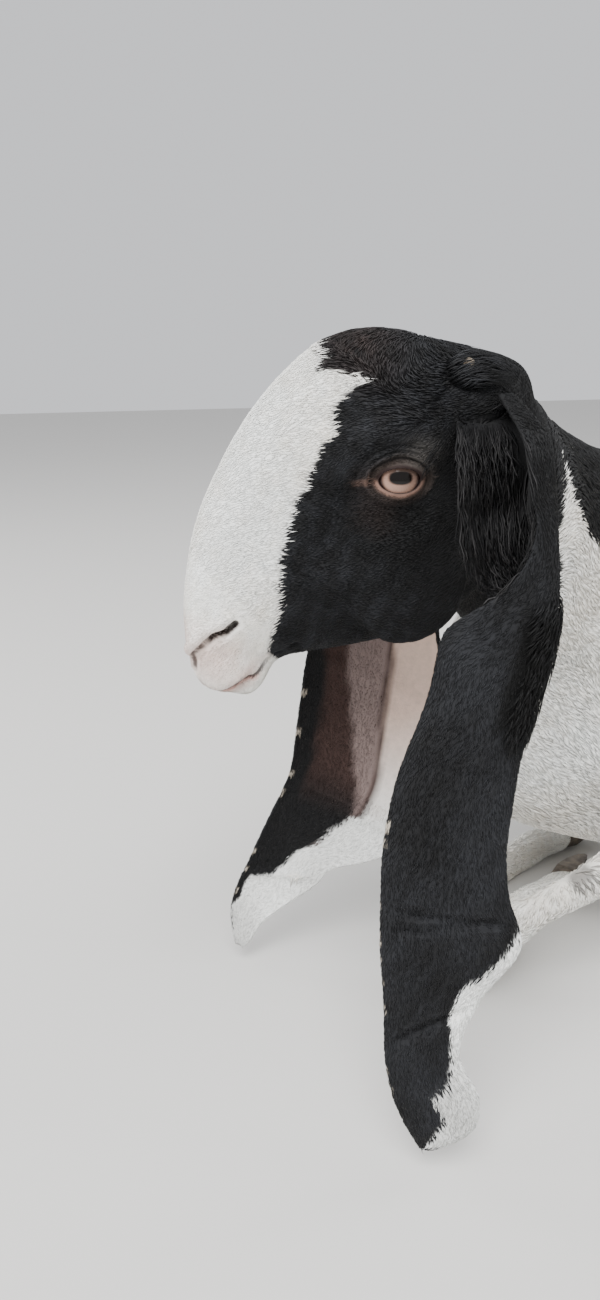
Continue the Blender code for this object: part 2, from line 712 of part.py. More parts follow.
def leg_rows(end, side):
    """The rows of the tubes of one folded leg, from the body to the foot."""
    if end == "fore":
        return FOREARM_ROWS[side], CANNON_ROWS[side]
    sets = (THIGH_ROWS, GASKIN_ROWS, SHANK_ROWS)
    if side == "left":
        return sets
    dx, dy, dz = HIND_RIGHT_SHIFT
    return tuple(
        tuple(((x + dx, dy - y, z + dz), wide, high) for (x, y, z), wide, high in rows)
        for rows in sets
    )


def leg_pieces(side, end, group, extra=0.0):
    """The tubes of one folded leg."""
    return [limb(f"{end}_{side}_{i}", rows, group, extra)
            for i, rows in enumerate(leg_rows(end, side))]


def upper_arms(group):
    """The muscles over the shoulder and the upper arm."""
    right = tuple(((x, -y, z), wide, high) for (x, y, z), wide, high in UPPER_ARM_ROWS)
    return [limb("upper_arm_left", UPPER_ARM_ROWS, group), limb("upper_arm_right", right, group)]


def head_pieces(group):
    """The closed forms that make the head."""
    pieces = [lofted_head(group)]
    for i, (centre, radii, turn) in enumerate(HEAD_FORMS):
        sides = (1, -1) if centre[1] else (1,)
        for sign in sides:
            place = (centre[0], sign * centre[1], centre[2])
            pieces.append(ellipsoid(f"form_{i}_{sign}", place, radii, HEAD_FRAME, group, turn))
    for sign in (1, -1):
        place = (EYE_CENTRE[0], sign * EYE_CENTRE[1], EYE_CENTRE[2])
        radius = EYE_RADIUS + LID_COVER
        pieces.append(ellipsoid(f"lids_{sign}", place, (radius,) * 3, HEAD_FRAME, group))
    return pieces


def whole_flesh(group):
    """Head, neck, trunk, tail and legs as one sculpted skin on the floor."""
    pieces = head_pieces(group) + [lofted_torso(group), limb("neck_tube", NECK_ROWS, group),
                                   limb("tail_tube", TAIL_ROWS, group)]
    pieces += upper_arms(group)
    for end in ("fore", "hind"):
        for side in ("left", "right"):
            pieces += leg_pieces(side, end, group)
    flesh = fused("flesh", pieces, group, BODY_VOXEL, BODY_ROUNDS)
    blend_body(flesh)
    sculpt(flesh)
    return flesh


def blend_weight(places):
    """How freely each point may be smoothed: not on the face, and not on the feet."""
    local = head_local(places)
    behind = np.clip((FACE_REAR - local[:, 0]) / FACE_FADE, 0, 1)
    apart = np.linalg.norm(local - np.array(FACE_MIDDLE), axis=1)
    far = np.clip((apart - FACE_REACH) / FACE_FADE, 0, 1)
    raised = np.clip((places[:, 2] - FEET_HEIGHT) / FEET_FADE, 0, 1)
    return np.maximum(behind, far) * raised


def blend_body(obj):
    """Smooth the junctions of the trunk, neck and thighs."""
    weight = blend_weight(mesh_points(obj.data)[0])
    soft = obj.vertex_groups.new(name="soft")
    for level in range(1, 11):
        chosen = np.flatnonzero(np.round(weight * 10).astype(int) == level)
        soft.add(chosen.tolist(), level / 10, "REPLACE")
    step = obj.modifiers.new("blend", "SMOOTH")
    step.factor = 0.5
    step.iterations = BLEND_ROUNDS
    step.vertex_group = "soft"
    apply_modifiers(obj)
    obj.vertex_groups.clear()


def eye_ball(sign, group, name, radius):
    """A ball at the place of one eye."""
    place = (EYE_CENTRE[0], sign * EYE_CENTRE[1], EYE_CENTRE[2])
    mesh = bpy.data.meshes.new(name)
    bm = bmesh.new()
    bmesh.ops.create_uvsphere(bm, u_segments=14, v_segments=8, radius=radius)
    bmesh.ops.transform(bm, matrix=HEAD_FRAME @ Matrix.Translation(place)
                        @ Matrix.Rotation(math.radians(90), 4, "X"), verts=bm.verts)
    bm.to_mesh(mesh)
    bm.free()
    obj = bpy.data.objects.new(name, mesh)
    group.objects.link(obj)
    return obj


def lid_opening(sign, group):
    """An almond-shaped prism that opens the lids over one eye."""
    rings = []
    for reach in (0.004, 0.030):
        ring = []
        for k in range(20):
            angle = 2 * math.pi * k / 20
            long = 0.5 * LID_SLIT_LONG * math.cos(angle)
            high = 0.5 * LID_SLIT_HIGH * math.sin(angle) * abs(math.sin(angle)) ** 0.35
            u = long * math.cos(LID_SLIT_TURN) - high * math.sin(LID_SLIT_TURN)
            v = long * math.sin(LID_SLIT_TURN) + high * math.cos(LID_SLIT_TURN)
            grow = 0.9 + 0.2 * reach / 0.030
            ring.append(HEAD_FRAME @ Vector((EYE_CENTRE[0] + u * grow,
                                             sign * (EYE_CENTRE[1] + reach),
                                             EYE_CENTRE[2] + v * grow)))
        rings.append(ring)
    return skin_rings(f"lid_cut_{sign}", rings, group)


def nostril_cut(sign, group):
    """A flattened bent plug that opens one nostril."""
    rings = []
    for (s, y, t), (high, wide) in zip(NOSTRIL_PATH, NOSTRIL_WIDTHS):
        rings.append([HEAD_FRAME @ Vector((s + wide * 1.6 * math.cos(a), sign * y,
                                           t + high * math.sin(a) + 0.35 * wide * math.cos(a)))
                      for a in np.linspace(0, 2 * math.pi, 10, endpoint=False)])
    return skin_rings(f"nostril_{sign}", rings, group)


def horn_bud(sign, group):
    """A low blunt cone on the crown."""
    name = "horn_left" if sign > 0 else "horn_right"
    aim = Vector((HORN_AIM[0], sign * HORN_AIM[1], HORN_AIM[2])).normalized()
    foot = Vector((HORN_FOOT[0], sign * HORN_FOOT[1], HORN_FOOT[2])) - aim * HORN_SUNK
    turn = aim.to_track_quat("Z", "Y").to_matrix().to_4x4()
    rings = []
    for share, width in HORN_PROFILE:
        height = share * (HORN_LENGTH + HORN_SUNK)
        rings.append([HEAD_FRAME @ Matrix.Translation(foot) @ turn
                      @ Vector((HORN_RADIUS * width * math.cos(a),
                                HORN_RADIUS * width * math.sin(a), height))
                      for a in np.linspace(0, 2 * math.pi, HORN_SIDES, endpoint=False)])
    return skin_rings(name, rings, group)


def ear(name, edge_rows, size_rows, outward, slant, group):
    """A hanging ear: one curled sheet, made solid, with its cup open near the root.

    The slant is how much lower the rear edge lies, for each metre behind the front.
    """
    edge = np.array(edge_rows)
    form = np.array(size_rows)
    shares = np.r_[np.linspace(0.0, 0.94, EAR_STEPS_DOWN - 3), 0.965, 0.985, 1.0]
    front = smooth_rows(edge[:, 0], edge[:, 1:], shares)
    size = smooth_rows(form[:, 0], form[:, 1:], shares)
    fore = np.array(EAR_FORE)
    out = np.array(outward)
    drop = slant * np.clip((shares - EAR_SLANT_FROM) / (EAR_SLANT_TO - EAR_SLANT_FROM), 0, 1)
    points = []
    for corner, (depth, curl, start, end), lower in zip(front, size, drop):
        across = (fore + np.array((0, 0, lower))) * depth
        for angle in np.radians(np.linspace(start, end, EAR_STEPS_ROUND + 1)):
            points.append(corner - across + across * math.cos(angle)
                          + out * curl * math.sin(angle))
    faces = []
    across = EAR_STEPS_ROUND + 1
    for i in range(len(shares) - 1):
        for j in range(EAR_STEPS_ROUND):
            a, b = i * across + j, i * across + j + 1
            c, d = b + across, a + across
            faces += [(a, b, c), (a, c, d)]
    obj = new_mesh_object(name, points, faces, group)
    solid = obj.modifiers.new("thickness", "SOLIDIFY")
    solid.thickness = EAR_THICKNESS
    solid.offset = 0
    solid.use_even_offset = False
    apply_modifiers(obj)
    face_outward(obj.data)
    return obj


def claw(name, crown, aim, sole, side, group):
    """One horn capsule of a foot, with a flat sole and a bevelled toe."""
    forward = aim.normalized()
    down = (sole - sole.dot(forward) * forward).normalized()
    across = down.cross(forward)
    turn = Matrix((forward, across, -down)).transposed().to_4x4()
    frame = (Matrix.Translation(crown) @ turn
             @ Matrix.Translation((0, side * CLAW_SPREAD, 0))
             @ Matrix.Rotation(side * CLAW_TOE_OUT, 4, "Z"))
    rings = []
    for reach, half_width, top, under in CLAW_ROWS:
        rings.append([frame @ Vector((reach, half_width * y, under + (top - under) * z))
                      for y, z in CLAW_ARCH])
    return skin_rings(name, rings, group)


def foot_claws(end, side, group):
    """Both claws of one foot, set on the last stretch of its leg."""
    rows = leg_rows(end, side)[-1]
    last = Vector(rows[-1][0])
    aim = last - Vector(rows[-3][0])
    aim.z = 0
    sole = Vector((0, 0, 1)) if end == "fore" else Vector((0, 0, -1))
    crown = last + aim.normalized() * CLAW_AHEAD
    crown.z = CLAW_CROWN_HEIGHT
    claws = []
    for label, way in (("inner", -1), ("outer", 1)):
        mirror = -1 if side == "right" else 1
        flip = way * mirror * (-1 if end == "fore" else 1)
        name = f"claw_{end}_{side}_{label}"
        claws.append(claw(name, crown, aim, sole, flip, group))
    return claws


def tail_locks(group):
    """Flat tapered locks of hair lying back along the tail."""
    draw = random.Random(SEED)
    path = np.array([centre for centre, _, _ in TAIL_ROWS])
    steps = np.linspace(0, 1, len(path))
    locks = []
    for i in range(TAIL_LOCKS):
        share = TAIL_LOCKS_FROM + (TAIL_LOCKS_TO - TAIL_LOCKS_FROM) * i / (TAIL_LOCKS - 1)
        turn = TAIL_LOCK_TURN * i
        root, ahead = smooth_rows(steps, path, [share, share + 0.05])
        aim = Vector(ahead - root).normalized()
        side = aim.cross(Vector((0, 0, 1))).normalized()
        over = side.cross(aim)
        out = (side * math.cos(turn) + over * math.sin(turn)).normalized()
        across = aim.cross(out)
        length = TAIL_LOCK_LENGTH * draw.uniform(0.75, 1.0) * (1.25 - 0.5 * share)
        rings = []
        for reach, lift, wide, thick in TAIL_LOCK_ROWS:
            centre = Vector(root) + aim * length * reach + out * lift
            centre.z -= TAIL_LOCK_DROOP * reach * reach
            rings.append([centre + across * wide * math.cos(a) + out * thick * math.sin(a)
                          for a in np.linspace(0, 2 * math.pi, 6, endpoint=False)])
        locks.append(skin_rings(f"lock_{i}", rings, group))
    return locks


def add_tail_locks(tail, scrap):
    """Fuse the locks to the tail."""
    bundle = new_collection("tail_locks")
    for lock in tail_locks(scrap):
        scrap.objects.unlink(lock)
        bundle.objects.link(lock)
    step = tail.modifiers.new("locks", "BOOLEAN")
    step.operand_type = "COLLECTION"
    step.operation = "UNION"
    step.collection = bundle
    step.solver = "EXACT"
    apply_modifiers(tail)
    for lock in list(bundle.objects):
        bpy.data.objects.remove(lock, do_unlink=True)
    bpy.data.collections.remove(bundle)
    return tail


def finish(obj, name, colour, roughness, goat):
    """Name a finished node, give it its material and put it in the goat's collection."""
    obj.name = name
    obj.data.name = name
    material = bpy.data.materials.new(name)
    material.use_nodes = True
    shader = material.node_tree.nodes["Principled BSDF"]
    shader.inputs["Base Color"].default_value = colour
    shader.inputs["Roughness"].default_value = roughness
    shader.inputs["Metallic"].default_value = 0.0
    obj.data.materials.clear()
    obj.data.materials.append(material)
    for group in list(obj.users_collection):
        group.objects.unlink(obj)
    goat.objects.link(obj)
    obj.data.shade_smooth()
    obj.data.set_sharp_from_angle(angle=math.radians(50))


def make_head(flesh, scrap, goat):
    """The head with its eyes, lids, nostrils and horn buds."""
    point, normal = NECK_CUT
    head = copy_object(flesh, "head", scrap)
    split(head, point - normal * CUT_MARGIN, normal, True)
    simplified(head, HEAD_TRIS)
    split(head, point + normal * HALF_GAP, normal, True)
    for sign in (1, -1):
        socket = eye_ball(sign, scrap, "socket", EYE_RADIUS + GAP)
        for cutter in (socket, lid_opening(sign, scrap), nostril_cut(sign, scrap)):
            combined(head, cutter, "DIFFERENCE")
        eye = eye_ball(sign, scrap, "eye", EYE_RADIUS)
        finish(eye, "eye_left" if sign > 0 else "eye_right", EYE_TAN, 0.1, goat)
        horn = horn_bud(sign, scrap)
        combined(head, swollen(horn, "horn_cut", GAP * 1.3, scrap), "DIFFERENCE")
        finish(horn, horn.name, HORN_GREY, 0.5, goat)
    largest_body(head)
    finish(head, "head", COAT_BLACK, 0.7, goat)
    return head


def make_ears(head, scrap, goat):
    """Both ears, trimmed where they meet the head."""
    shell = swollen(head, "head_shell", GAP * 1.4, scrap)
    for name, (edge_rows, size_rows, outward, slant) in EARS.items():
        piece = ear(name, edge_rows, size_rows, outward, slant, scrap)
        combined(piece, shell, "DIFFERENCE")
        largest_body(piece)
        finish(piece, name, COAT_BLACK, 0.7, goat)


def make_legs(rest, scrap, goat):
    """Cut the four legs out of the trunk and set their claws."""
    for end in ("fore", "hind"):
        for side in ("left", "right"):
            name = f"{end}leg_{side}"
            pieces = leg_pieces(side, end, scrap, SLEEVE_EXTRA)
            sleeve = fused(name + "_sleeve", pieces, scrap, SLEEVE_VOXEL, SLEEVE_ROUNDS)
            simplified(sleeve, SLEEVE_TRIS)
            leg = copy_object(rest, name, scrap)
            combined(leg, sleeve, "INTERSECT")
            combined(rest, swollen(sleeve, "sleeve_out", GAP * 1.3, scrap), "DIFFERENCE")
            for horn in foot_claws(end, side, scrap):
                combined(leg, swollen(horn, "claw_out", GAP * 1.4, scrap), "DIFFERENCE")
                flat_below(horn)
                finish(horn, horn.name, HORN_GREY, 0.5, goat)
            flat_below(leg)
            finish(leg, name, COAT_WHITE, 0.8, goat)


def make_trunk(rest, scrap, goat):
    """Part what is left into neck, torso and tail."""
    chest, chest_way = CHEST_CUT
    rump, rump_way = TAIL_CUT
    neck = split(copy_object(rest, "neck", scrap), chest + chest_way * HALF_GAP, chest_way, True)
    point, normal = NECK_CUT
    split(neck, point - normal * HALF_GAP, normal, False)
    tail = split(copy_object(rest, "tail", scrap), rump + rump_way * HALF_GAP, rump_way, True)
    torso = split(rest, chest - chest_way * HALF_GAP, chest_way, False)
    split(torso, rump - rump_way * HALF_GAP, rump_way, False)
    for piece in (neck, torso, tail):
        flat_below(piece)
    add_tail_locks(tail, scrap)
    split(tail, rump + rump_way * HALF_GAP, rump_way, True)
    largest_body(tail)
    finish(neck, "neck", COAT_BLACK, 0.8, goat)
    finish(torso, "torso", COAT_WHITE, 0.8, goat)
    finish(tail, "tail", COAT_WHITE, 0.8, goat)


def centre_on_floor(goat):
    """Put the origin under the middle of the goat, on the floor."""
    corners = np.concatenate([mesh_points(obj.data)[0] for obj in goat.objects])
    low, high = corners.min(axis=0), corners.max(axis=0)
    move = Matrix.Translation((-(low[0] + high[0]) / 2, -(low[1] + high[1]) / 2, -low[2]))
    for obj in goat.objects:
        obj.data.transform(move)


def main():
    """Build every node of the goat."""
    clear_scene()
    goat = new_collection("jamunapari_goat")
    scrap = new_collection("cutters")
    flesh = whole_flesh(scrap)
    head = make_head(flesh, scrap, goat)
    make_ears(head, scrap, goat)
    point, normal = NECK_CUT
    rest = split(flesh, point + normal * CUT_MARGIN, normal, False)
    simplified(rest, REST_TRIS)
    make_legs(rest, scrap, goat)
    make_trunk(rest, scrap, goat)
    for obj in list(scrap.objects):
        bpy.data.objects.remove(obj, do_unlink=True)
    centre_on_floor(goat)


if __name__ == "__main__":
    main()
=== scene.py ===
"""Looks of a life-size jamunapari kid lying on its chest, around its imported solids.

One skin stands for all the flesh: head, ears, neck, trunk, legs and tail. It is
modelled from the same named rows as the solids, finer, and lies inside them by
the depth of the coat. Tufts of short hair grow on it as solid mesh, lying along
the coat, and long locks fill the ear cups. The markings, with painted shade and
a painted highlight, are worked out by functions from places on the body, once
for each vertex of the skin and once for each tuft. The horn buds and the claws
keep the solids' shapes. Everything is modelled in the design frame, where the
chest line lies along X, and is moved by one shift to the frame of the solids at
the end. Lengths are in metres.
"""

import math

import bmesh
import bpy
import numpy as np
from mathutils import Matrix, Vector
from mathutils.bvhtree import BVHTree
from mathutils.kdtree import KDTree

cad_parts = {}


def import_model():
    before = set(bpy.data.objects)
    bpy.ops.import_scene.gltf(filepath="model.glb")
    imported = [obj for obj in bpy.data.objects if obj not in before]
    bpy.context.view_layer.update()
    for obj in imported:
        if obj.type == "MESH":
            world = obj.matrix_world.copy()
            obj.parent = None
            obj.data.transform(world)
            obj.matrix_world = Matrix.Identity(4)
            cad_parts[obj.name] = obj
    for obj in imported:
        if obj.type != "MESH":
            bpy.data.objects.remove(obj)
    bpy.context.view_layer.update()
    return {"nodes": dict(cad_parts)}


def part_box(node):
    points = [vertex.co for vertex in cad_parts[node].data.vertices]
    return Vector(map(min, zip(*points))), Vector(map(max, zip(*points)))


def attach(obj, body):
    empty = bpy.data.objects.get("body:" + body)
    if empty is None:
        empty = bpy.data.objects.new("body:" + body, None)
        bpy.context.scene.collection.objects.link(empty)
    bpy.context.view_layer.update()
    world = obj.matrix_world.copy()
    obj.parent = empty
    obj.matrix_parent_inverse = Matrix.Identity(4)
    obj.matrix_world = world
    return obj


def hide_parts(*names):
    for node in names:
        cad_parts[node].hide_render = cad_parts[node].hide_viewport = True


SEED = 11
# The cells of the fused skin and of the solids, and the skin's lowest height.
SKIN_VOXEL = 0.0029
PART_VOXEL = 0.0025
SKIN_FLOOR = 0.0004
FLOOR_SOFT = 0.003
FLOOR_LIFT = 0.2
# How finely the forms are built before they are fused.
HEAD_RINGS = 60
TORSO_RINGS = 70
TORSO_AROUND = 64
LIMB_STEP = 0.006

# The head's own frame starts at the poll, with X towards the muzzle and Y to the left.
POLL = Vector((0.36, 0.08, 0.37))
HEAD_YAW = math.radians(-20)
HEAD_PITCH = math.radians(45)
HEAD_FRAME = (
    Matrix.Translation(POLL)
    @ Matrix.Rotation(HEAD_YAW, 4, "Z")
    @ Matrix.Rotation(HEAD_PITCH, 4, "Y")
)

# Rows: place along the head, top, bottom, half width, height of the widest line.
HEAD_ROWS = (
    (-0.0125, -0.022, -0.036, 0.012, -0.026), (-0.006, -0.011, -0.043, 0.023, -0.024),
    (0.005, 0.004, -0.05, 0.028, -0.021), (0.02, 0.0285, -0.062, 0.035, -0.014),
    (0.045, 0.0465, -0.08, 0.04, -0.012), (0.07, 0.05, -0.09, 0.042, -0.018),
    (0.095, 0.048, -0.089, 0.038, -0.022), (0.12, 0.0417, -0.078, 0.0325, -0.02),
    (0.145, 0.0322, -0.061, 0.0275, -0.017), (0.165, 0.02, -0.0465, 0.024, -0.015),
    (0.176, 0.0115, -0.0435, 0.022, -0.014), (0.186, 0.002, -0.0445, 0.0195, -0.016),
    (0.1935, -0.0085, -0.0425, 0.0165, -0.022), (0.199, -0.0155, -0.0365, 0.012, -0.026),
    (0.202, -0.0205, -0.0315, 0.006, -0.026))
HEAD_TOP_POWER = 2.2
HEAD_UNDER_POWER = 1.75
EYE_RADIUS = 0.0125
EYE_CENTRE = (0.067, 0.033, -0.0155)
LID_COVER = 0.0022
LID_SLIT_LONG = 0.0182
LID_SLIT_HIGH = 0.0104
LID_SLIT_TURN = math.radians(45)
# Folds round the lids: distance from the rim, width and depth. Above and below the eye.
UPPER_FOLDS = ((0.0046, 0.0007, 0.001), (0.0074, 0.0008, 0.0007), (0.0098, 0.0009, 0.0005))
LOWER_FOLDS = ((0.004, 0.0008, 0.0006), (0.0075, 0.001, 0.0003))
# How the eye's rings crowd over the iris, and the place and shape of the pupil.
EYE_RING_POWER = 1.6
PUPIL_RAISED = 0.0012
PUPIL_HALF_LONG = 0.005
PUPIL_HALF_HIGH = 0.0028
PUPIL_POWER = 2.4
IRIS_EDGE = (0.0066, 0.0084)

# Rounded forms added to the head's loft: centre, radii, turn about the side axis.
HEAD_FORMS = (
    ((0.062, 0.034, -0.008), (0.026, 0.013, 0.023), 0),
    ((0.092, 0.026, -0.052), (0.036, 0.013, 0.03), 35),
    ((0.18, 0.0125, -0.01), (0.0135, 0.0095, 0.0125), 30),
    ((0.1845, 0.01, -0.026), (0.0155, 0.0115, 0.0125), 25),
    ((0.18, 0, -0.04), (0.015, 0.0135, 0.008), 18),
    ((0.018, 0.03, -0.02), (0.016, 0.012, 0.015), 0))

# Strokes pressed into or raised from the head: points, radius and height.
HEAD_STROKES = (
    ("brow ridge", ((0.082, 0.036, 0.01), (0.064, 0.042, 0.009), (0.047, 0.041, -0.002),
     (0.039, 0.039, -0.018)), 0.017, 0.0036),
    ("hollow before the eye", ((0.088, 0.036, -0.01), (0.104, 0.031, -0.016)), 0.018, -0.003),
    ("hollow under the eye", ((0.084, 0.04, -0.024), (0.068, 0.042, -0.034)), 0.012, -0.0018),
    ("hollow of the temple", ((0.036, 0.04, -0.022), (0.05, 0.038, -0.038)), 0.014, -0.0022),
    ("cheek bone", ((0.052, 0.04, -0.044), (0.082, 0.038, -0.04), (0.118, 0.03, -0.031)), 0.014,
     0.0026),
    ("side of the nose", ((0.11, 0.028, 0.012), (0.145, 0.024, 0.004)), 0.014, -0.0016),
    ("upper lid", ((0.076, 0.044, -0.006), (0.066, 0.047, -0.006), (0.058, 0.046, -0.013),
     (0.056, 0.044, -0.022)), 0.0042, 0.0013),
    ("lower lid", ((0.077, 0.043, -0.009), (0.076, 0.045, -0.018), (0.068, 0.045, -0.025),
     (0.059, 0.043, -0.026)), 0.0042, 0.0011),
    ("fold over the lid", ((0.08, 0.042, 0), (0.066, 0.045, 0.002), (0.053, 0.044, -0.008)),
     0.0035, -0.0012),
    ("nostril rim", ((0.17, 0.021, -0.007), (0.182, 0.02, -0.005), (0.192, 0.015, -0.008)),
     0.0055, 0.0012),
    ("groove from nostril to lip", ((0.176, 0.022, -0.0128), (0.186, 0.0205, -0.0118),
     (0.196, 0.014, -0.0125)), 0.0034, -0.002),
    ("line of the mouth", ((0.202, 0, -0.029), (0.1975, 0.009, -0.0312), (0.192, 0.0135, -0.0345),
     (0.1845, 0.016, -0.0393), (0.177, 0.018, -0.043), (0.168, 0.019, -0.0445),
     (0.155, 0.02, -0.043)), 0.0036, -0.0028),
    ("upper lip", ((0.195, 0.012, -0.027), (0.184, 0.018, -0.0345), (0.168, 0.02, -0.0375)),
     0.007, 0.0012),
    ("split of the upper lip", ((0.198, 0, -0.014), (0.202, 0, -0.027)), 0.0032, -0.0018),
    ("jaw edge", ((0.16, 0.016, -0.046), (0.125, 0.022, -0.07), (0.09, 0.026, -0.082)), 0.01,
     0.0012),
)

# Rows along the trunk: x, half width, top, bottom.
TORSO_ROWS = (
    (-0.302, 0.016, 0.2, 0.14), (-0.294, 0.044, 0.226, 0.086), (-0.272, 0.068, 0.248, 0.046),
    (-0.23, 0.085, 0.265, 0.02), (-0.16, 0.096, 0.272, 0.003), (-0.08, 0.105, 0.272, -0.005),
    (0, 0.104, 0.277, -0.006), (0.06, 0.095, 0.287, -0.004), (0.11, 0.085, 0.298, 0.006),
    (0.15, 0.08, 0.3, 0.024), (0.19, 0.075, 0.292, 0.044), (0.235, 0.067, 0.272, 0.062),
    (0.27, 0.055, 0.242, 0.08), (0.296, 0.038, 0.215, 0.108), (0.311, 0.016, 0.19, 0.14))
TORSO_WIDEST = 0.42
TORSO_TOP_POWER = 1.85
TORSO_UNDER_POWER = 2.4

# Strokes of the trunk, on both sides: points, radius and height.
BODY_STROKES = (
    ("hollow of the flank", ((-0.125, 0.088, 0.212), (-0.18, 0.084, 0.222)), 0.036, -0.0055),
    ("hip bone", ((-0.212, 0.06, 0.246), (-0.234, 0.055, 0.248)), 0.024, 0.0065),
    ("pin bone", ((-0.284, 0.032, 0.212), (-0.292, 0.03, 0.196)), 0.02, 0.0055),
    ("shoulder blade", ((0.152, 0.05, 0.288), (0.188, 0.068, 0.222)), 0.026, 0.0035),
    ("hollow behind the shoulder", ((0.108, 0.078, 0.222), (0.104, 0.092, 0.13)), 0.032, -0.0045),
    ("groove of the neck", ((0.33, 0.098, 0.292), (0.262, 0.062, 0.225)), 0.016, -0.0025),
)

# Rows of a limb: centre, half width across, half height.
NECK_ROWS = (
    ((0.12, 0, 0.205), 0.06, 0.092), ((0.19, 0.004, 0.218), 0.06, 0.09),
    ((0.24, 0.014, 0.24), 0.052, 0.08), ((0.285, 0.036, 0.268), 0.044, 0.066),
    ((0.32, 0.056, 0.292), 0.038, 0.055), ((0.352, 0.074, 0.314), 0.034, 0.046),
    ((0.378, 0.076, 0.322), 0.026, 0.034))
UPPER_ARM_ROWS = (
    ((0.19, 0.055, 0.215), 0.022, 0.045), ((0.222, 0.07, 0.16), 0.026, 0.04),
    ((0.2, 0.088, 0.122), 0.024, 0.03))
FOREARM_ROWS = {
    "left": (
        ((0.176, 0.103, 0.124), 0.02, 0.023), ((0.204, 0.102, 0.108), 0.021, 0.023),
        ((0.232, 0.097, 0.09), 0.018, 0.018), ((0.26, 0.088, 0.073), 0.0145, 0.015),
        ((0.3, 0.07, 0.046), 0.0125, 0.0135), ((0.325, 0.058, 0.026), 0.0155, 0.0165),
        ((0.336, 0.053, 0.018), 0.014, 0.015)),
    "right": (
        ((0.178, -0.08, 0.13), 0.021, 0.025), ((0.208, -0.06, 0.112), 0.023, 0.026),
        ((0.24, -0.036, 0.078), 0.018, 0.02), ((0.264, -0.022, 0.044), 0.0125, 0.0135),
        ((0.28, -0.015, 0.025), 0.015, 0.0155), ((0.288, -0.012, 0.018), 0.014, 0.0145)),
}
CANNON_ROWS = {
    "left": (
        ((0.334, 0.053, 0.016), 0.0145, 0.015), ((0.312, 0.041, 0.0125), 0.011, 0.0135),
        ((0.272, 0.024, 0.011), 0.0095, 0.012), ((0.242, 0.013, 0.0125), 0.012, 0.014),
        ((0.226, 0.008, 0.012), 0.0115, 0.0125), ((0.211, 0.004, 0.0115), 0.014, 0.0125),
        ((0.202, 0.001, 0.011), 0.012, 0.01)),
    "right": (
        ((0.287, -0.013, 0.016), 0.0145, 0.015), ((0.264, -0.023, 0.0125), 0.011, 0.0135),
        ((0.224, -0.04, 0.011), 0.0095, 0.012), ((0.195, -0.051, 0.0125), 0.012, 0.014),
        ((0.18, -0.056, 0.012), 0.0115, 0.0125), ((0.166, -0.06, 0.0115), 0.014, 0.0125),
        ((0.157, -0.063, 0.011), 0.012, 0.01)),
}
THIGH_ROWS = (
    ((-0.235, 0.037, 0.19), 0.036, 0.05), ((-0.19, 0.062, 0.154), 0.041, 0.062),
    ((-0.135, 0.086, 0.114), 0.042, 0.058), ((-0.09, 0.105, 0.086), 0.034, 0.044),
    ((-0.066, 0.11, 0.078), 0.02, 0.026))
GASKIN_ROWS = (
    ((-0.078, 0.109, 0.086), 0.03, 0.036), ((-0.14, 0.116, 0.068), 0.026, 0.034),
    ((-0.212, 0.117, 0.045), 0.0165, 0.022), ((-0.262, 0.115, 0.032), 0.013, 0.0205),
    ((-0.286, 0.114, 0.028), 0.011, 0.015))
SHANK_ROWS = (
    ((-0.276, 0.115, 0.02), 0.0135, 0.017), ((-0.246, 0.119, 0.015), 0.013, 0.0165),
    ((-0.195, 0.128, 0.0115), 0.01, 0.0125), ((-0.155, 0.135, 0.013), 0.013, 0.0145),
    ((-0.138, 0.138, 0.0125), 0.012, 0.013), ((-0.121, 0.141, 0.012), 0.0145, 0.013),
    ((-0.11, 0.143, 0.0115), 0.0125, 0.0105))
TAIL_ROWS = (
    ((-0.275, 0, 0.224), 0.018, 0.02), ((-0.3, 0, 0.23), 0.017, 0.017),
    ((-0.325, 0.003, 0.228), 0.014, 0.011), ((-0.35, 0.008, 0.214), 0.011, 0.008),
    ((-0.366, 0.012, 0.194), 0.007, 0.005))

# The right hind leg mirrors the left one, moved by these few millimetres.
HIND_RIGHT_SHIFT = (0.012, 0.006, 0.0)

# The junctions are smoothed this often, but not on the face, round a place of the
# head's own frame, and not on the feet.
BLEND_ROUNDS = 40
FACE_REAR = 0.045
FACE_MIDDLE = (0.09, 0, -0.02)
FACE_REACH = 0.115
FACE_FADE = 0.035
FEET_HEIGHT = 0.02
FEET_FADE = 0.05
# How deep the coat is on the face, how much more on the body, and round which place.
FACE_COAT = 0.0008
BODY_COAT = 0.0022
COAT_MIDDLE = (0.1, 0, -0.02)
# The hair of the head grows this far round the middle of the face, in front of this X.
COAT_REACH = 0.13
NECK_FROM = 0.315

# An ear is an arc swept down its front edge. Rows: share of the length, then
# half depth from front to rear, half thickness of the curl, and the angles of
# both rims, from the front edge at 0 over the outer side at 90 to the rear.
NEAR_EAR_ROWS = (
    (0, 0.015, 0.015, 118, 300), (0.05, 0.0185, 0.017, 112, 325),
    (0.12, 0.0195, 0.0175, 112, 336), (0.19, 0.0205, 0.0165, 116, 330),
    (0.25, 0.0215, 0.0145, 84, 300), (0.31, 0.023, 0.0125, 10, 250), (0.39, 0.023, 0.01, 2, 212),
    (0.52, 0.026, 0.0075, 5, 186), (0.64, 0.028, 0.0065, 8, 172), (0.71, 0.0315, 0.006, 8, 170),
    (0.79, 0.0215, 0.0052, 8, 172), (0.86, 0.0165, 0.0045, 8, 172), (0.93, 0.0185, 0.004, 8, 172),
    (0.975, 0.013, 0.003, 8, 172), (1, 0.0035, 0.0015, 8, 172))
